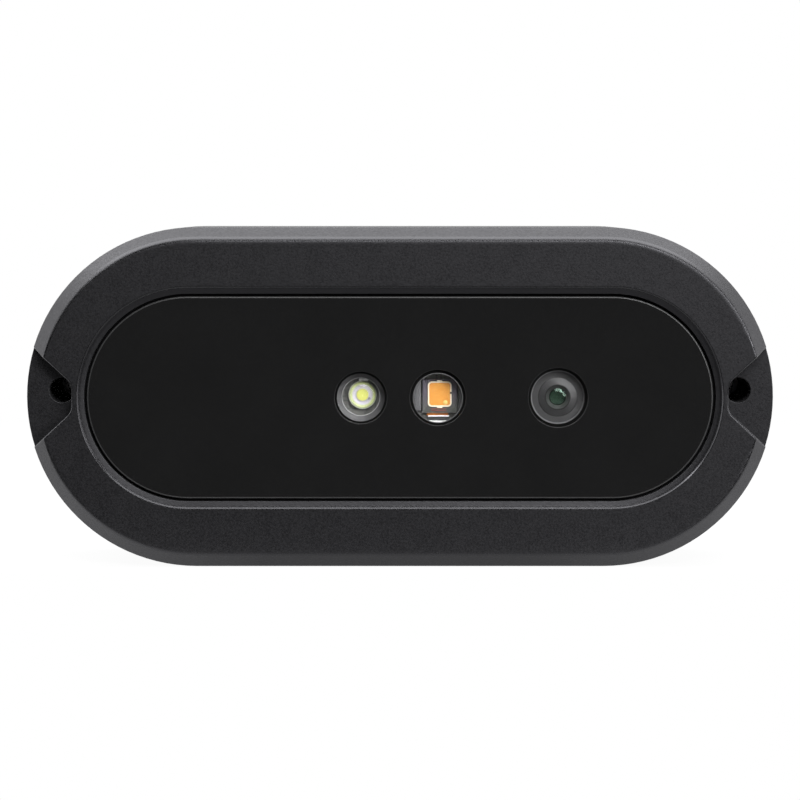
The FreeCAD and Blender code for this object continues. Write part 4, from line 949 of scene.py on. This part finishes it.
def makeLensDetail():
    barrel, mark = boxCorners("lens_barrel"), lensLook["mark"]
    shape = bmesh.new()
    padShape(shape, centred(barrel["x"] + mark["x"], barrel["z"] + mark["z"], mark["wide"], mark["high"]),
             lensLook["face"], mark)
    finishPiece("lens_index_mark", shape, "mark_ink")
    print("lens detail made")


# Floor and light

floorLook = {
    "reach": (2.0, 0.05, 2.6),           # to each side, to the front and to the back
    "tone": (0.90, 0.90, 0.90), "toneTwo": (0.87, 0.87, 0.87), "speck": 0.002, "rough": 0.9,
    "fade": (0.12, 0.45), "glow": (0.95, 1.0),           # share of white near the object and far from it
    "beside": (0.03, 0.09), "besideGlow": (-0.14, 0.72),     # change of glow in reflections, beside the object
}
roomLook = {
    "ambient": 0.4,
    "turn": (-0.45, 0.25), "glow": (0.03, 1.0),          # in reflections, from the photographer's side to the back
    "table": 0.75, "tableSpan": (-0.75, -0.52, -0.30),   # pale table low in front, by the sine of its angle
    "tableAhead": (-0.3, -0.6),
}

lampLooks = {
    # bearing to the right of the front, height above level, distance, width, height, radiance
    "top_softbox": (180, 80, 0.86, 2.0, 0.8, 4.9),
    "left_softbox": (-93, 11, 1.02, 0.8, 0.8, 1.9),
    "right_softbox": (93, 11, 1.02, 0.8, 0.8, 1.8),
    "key_softbox": (9, 35, 1.1, 0.62, 0.26, 10.0),
    "fill_softbox": (22, 25, 1.1, 0.25, 0.25, 10.5),
    "side_softbox": (40, 14, 1.1, 0.30, 0.50, 9.4),
    "rim_softbox": (-70, 43, 1.1, 0.30, 0.30, 7.0),
}
lampAim = Vector((0.0, -0.03, 0.0))


def makeFloor():
    mesh = bpy.data.meshes.new("floor")
    side, ahead, behind = floorLook["reach"]
    level = cadBox[0][2]
    corners = [(-side, -ahead, level), (side, -ahead, level), (side, behind, level), (-side, behind, level)]
    mesh.from_pydata(corners, [], [(0, 1, 2, 3)])
    floor = bpy.data.objects.new("floor", mesh)
    bpy.context.scene.collection.objects.link(floor)
    material, tree, shader, output = newMaterial("floor_paper")
    where = coordinates(tree)
    speck = noise(tree, where, floorLook["speck"])
    wire(tree, blendTones(tree, speck, floorLook["toneTwo"], floorLook["tone"]), shader, "Base Color")
    shader.inputs["Roughness"].default_value = floorLook["rough"]
    shader.inputs["Specular IOR Level"].default_value = 0.0
    glow = addNode(tree, "ShaderNodeEmission", {"Color": (1, 1, 1, 1)})
    path = addNode(tree, "ShaderNodeLightPath").outputs
    mirrored = path["Is Glossy Ray"]
    seen = maths(tree, "MAXIMUM", path["Is Camera Ray"],
                 maths(tree, "MAXIMUM", mirrored, path["Is Transmission Ray"]))
    beside = spread(tree, maths(tree, "ABSOLUTE", axes(tree)["X"]), floorLook["beside"], floorLook["besideGlow"])
    wire(tree, maths(tree, "ADD", product(tree, beside, mirrored), 1.0), glow, "Strength")
    away = addNode(tree, "ShaderNodeVectorMath", operation="LENGTH")
    wire(tree, where, away, 0)
    share = spread(tree, away.outputs["Value"], floorLook["fade"], floorLook["glow"])
    mix = addNode(tree, "ShaderNodeMixShader")
    wire(tree, product(tree, seen, share), mix, 0)
    wire(tree, shader.outputs[0], mix, 1)
    wire(tree, glow.outputs[0], mix, 2)
    wire(tree, mix.outputs[0], output, "Surface")
    mesh.materials.append(material)
    print("floor laid")


def lightRoom():
    world = bpy.data.worlds.new("studio_room")
    bpy.context.scene.world = world
    world.use_nodes = True
    world.cycles.sampling_method = "NONE"
    tree = world.node_tree
    tree.nodes.clear()
    output = addNode(tree, "ShaderNodeOutputWorld")
    path = addNode(tree, "ShaderNodeLightPath").outputs
    heading = addNode(tree, "ShaderNodeSeparateXYZ")
    wire(tree, addNode(tree, "ShaderNodeTexCoord").outputs["Generated"], heading, 0)
    back, up = heading.outputs["Y"], heading.outputs["Z"]
    # the paper behind is white, the dark end of the studio is on the photographer's side
    mirrored = spread(tree, back, roomLook["turn"], roomLook["glow"])
    low, middle, high = roomLook["tableSpan"]
    rising = spread(tree, up, (low, middle), (0.0, roomLook["table"]))
    falling = spread(tree, up, (middle, high), (roomLook["table"], 0.0))
    table = product(tree, maths(tree, "MINIMUM", rising, falling), spread(tree, back, roomLook["tableAhead"]))
    mirrored = maths(tree, "MAXIMUM", mirrored, table)
    seen = maths(tree, "MAXIMUM", path["Is Glossy Ray"], path["Is Transmission Ray"])
    # pieces behind the windows get the same soft light as the outside
    seen = product(tree, seen, spread(tree, path["Diffuse Depth"], (0.0, 1.0), (1.0, 0.0)))
    level = mixValues(tree, seen, mirrored, roomLook["ambient"])
    level = mixValues(tree, path["Is Camera Ray"], 1.0, level)
    glow = addNode(tree, "ShaderNodeBackground", {"Color": (1, 1, 1, 1)})
    wire(tree, level, glow, "Strength")
    wire(tree, glow.outputs[0], output, "Surface")
    for name, (bearing, rise, distance, width, height, radiance) in lampLooks.items():
        bearing, rise = math.radians(bearing), math.radians(rise)
        ahead = math.cos(rise)
        spot = distance * Vector((ahead * math.sin(bearing), -ahead * math.cos(bearing), math.sin(rise)))
        data = bpy.data.lights.new(name, "AREA")
        data.shape = "RECTANGLE"
        data.size = width
        data.size_y = height
        data.energy = radiance * math.pi * width * height
        lamp = bpy.data.objects.new(name, data)
        lamp.location = spot
        lamp.rotation_euler = (lampAim - spot).to_track_quat("-Z", "Y").to_euler()
        bpy.context.scene.collection.objects.link(lamp)
    print("lamps:", len(lampLooks))


placeCamera()
dressNodes()
makeWindowMasks()
makeEmitterDetail()
makeLedDetail()
makeLensDetail()
makeFloor()
lightRoom()
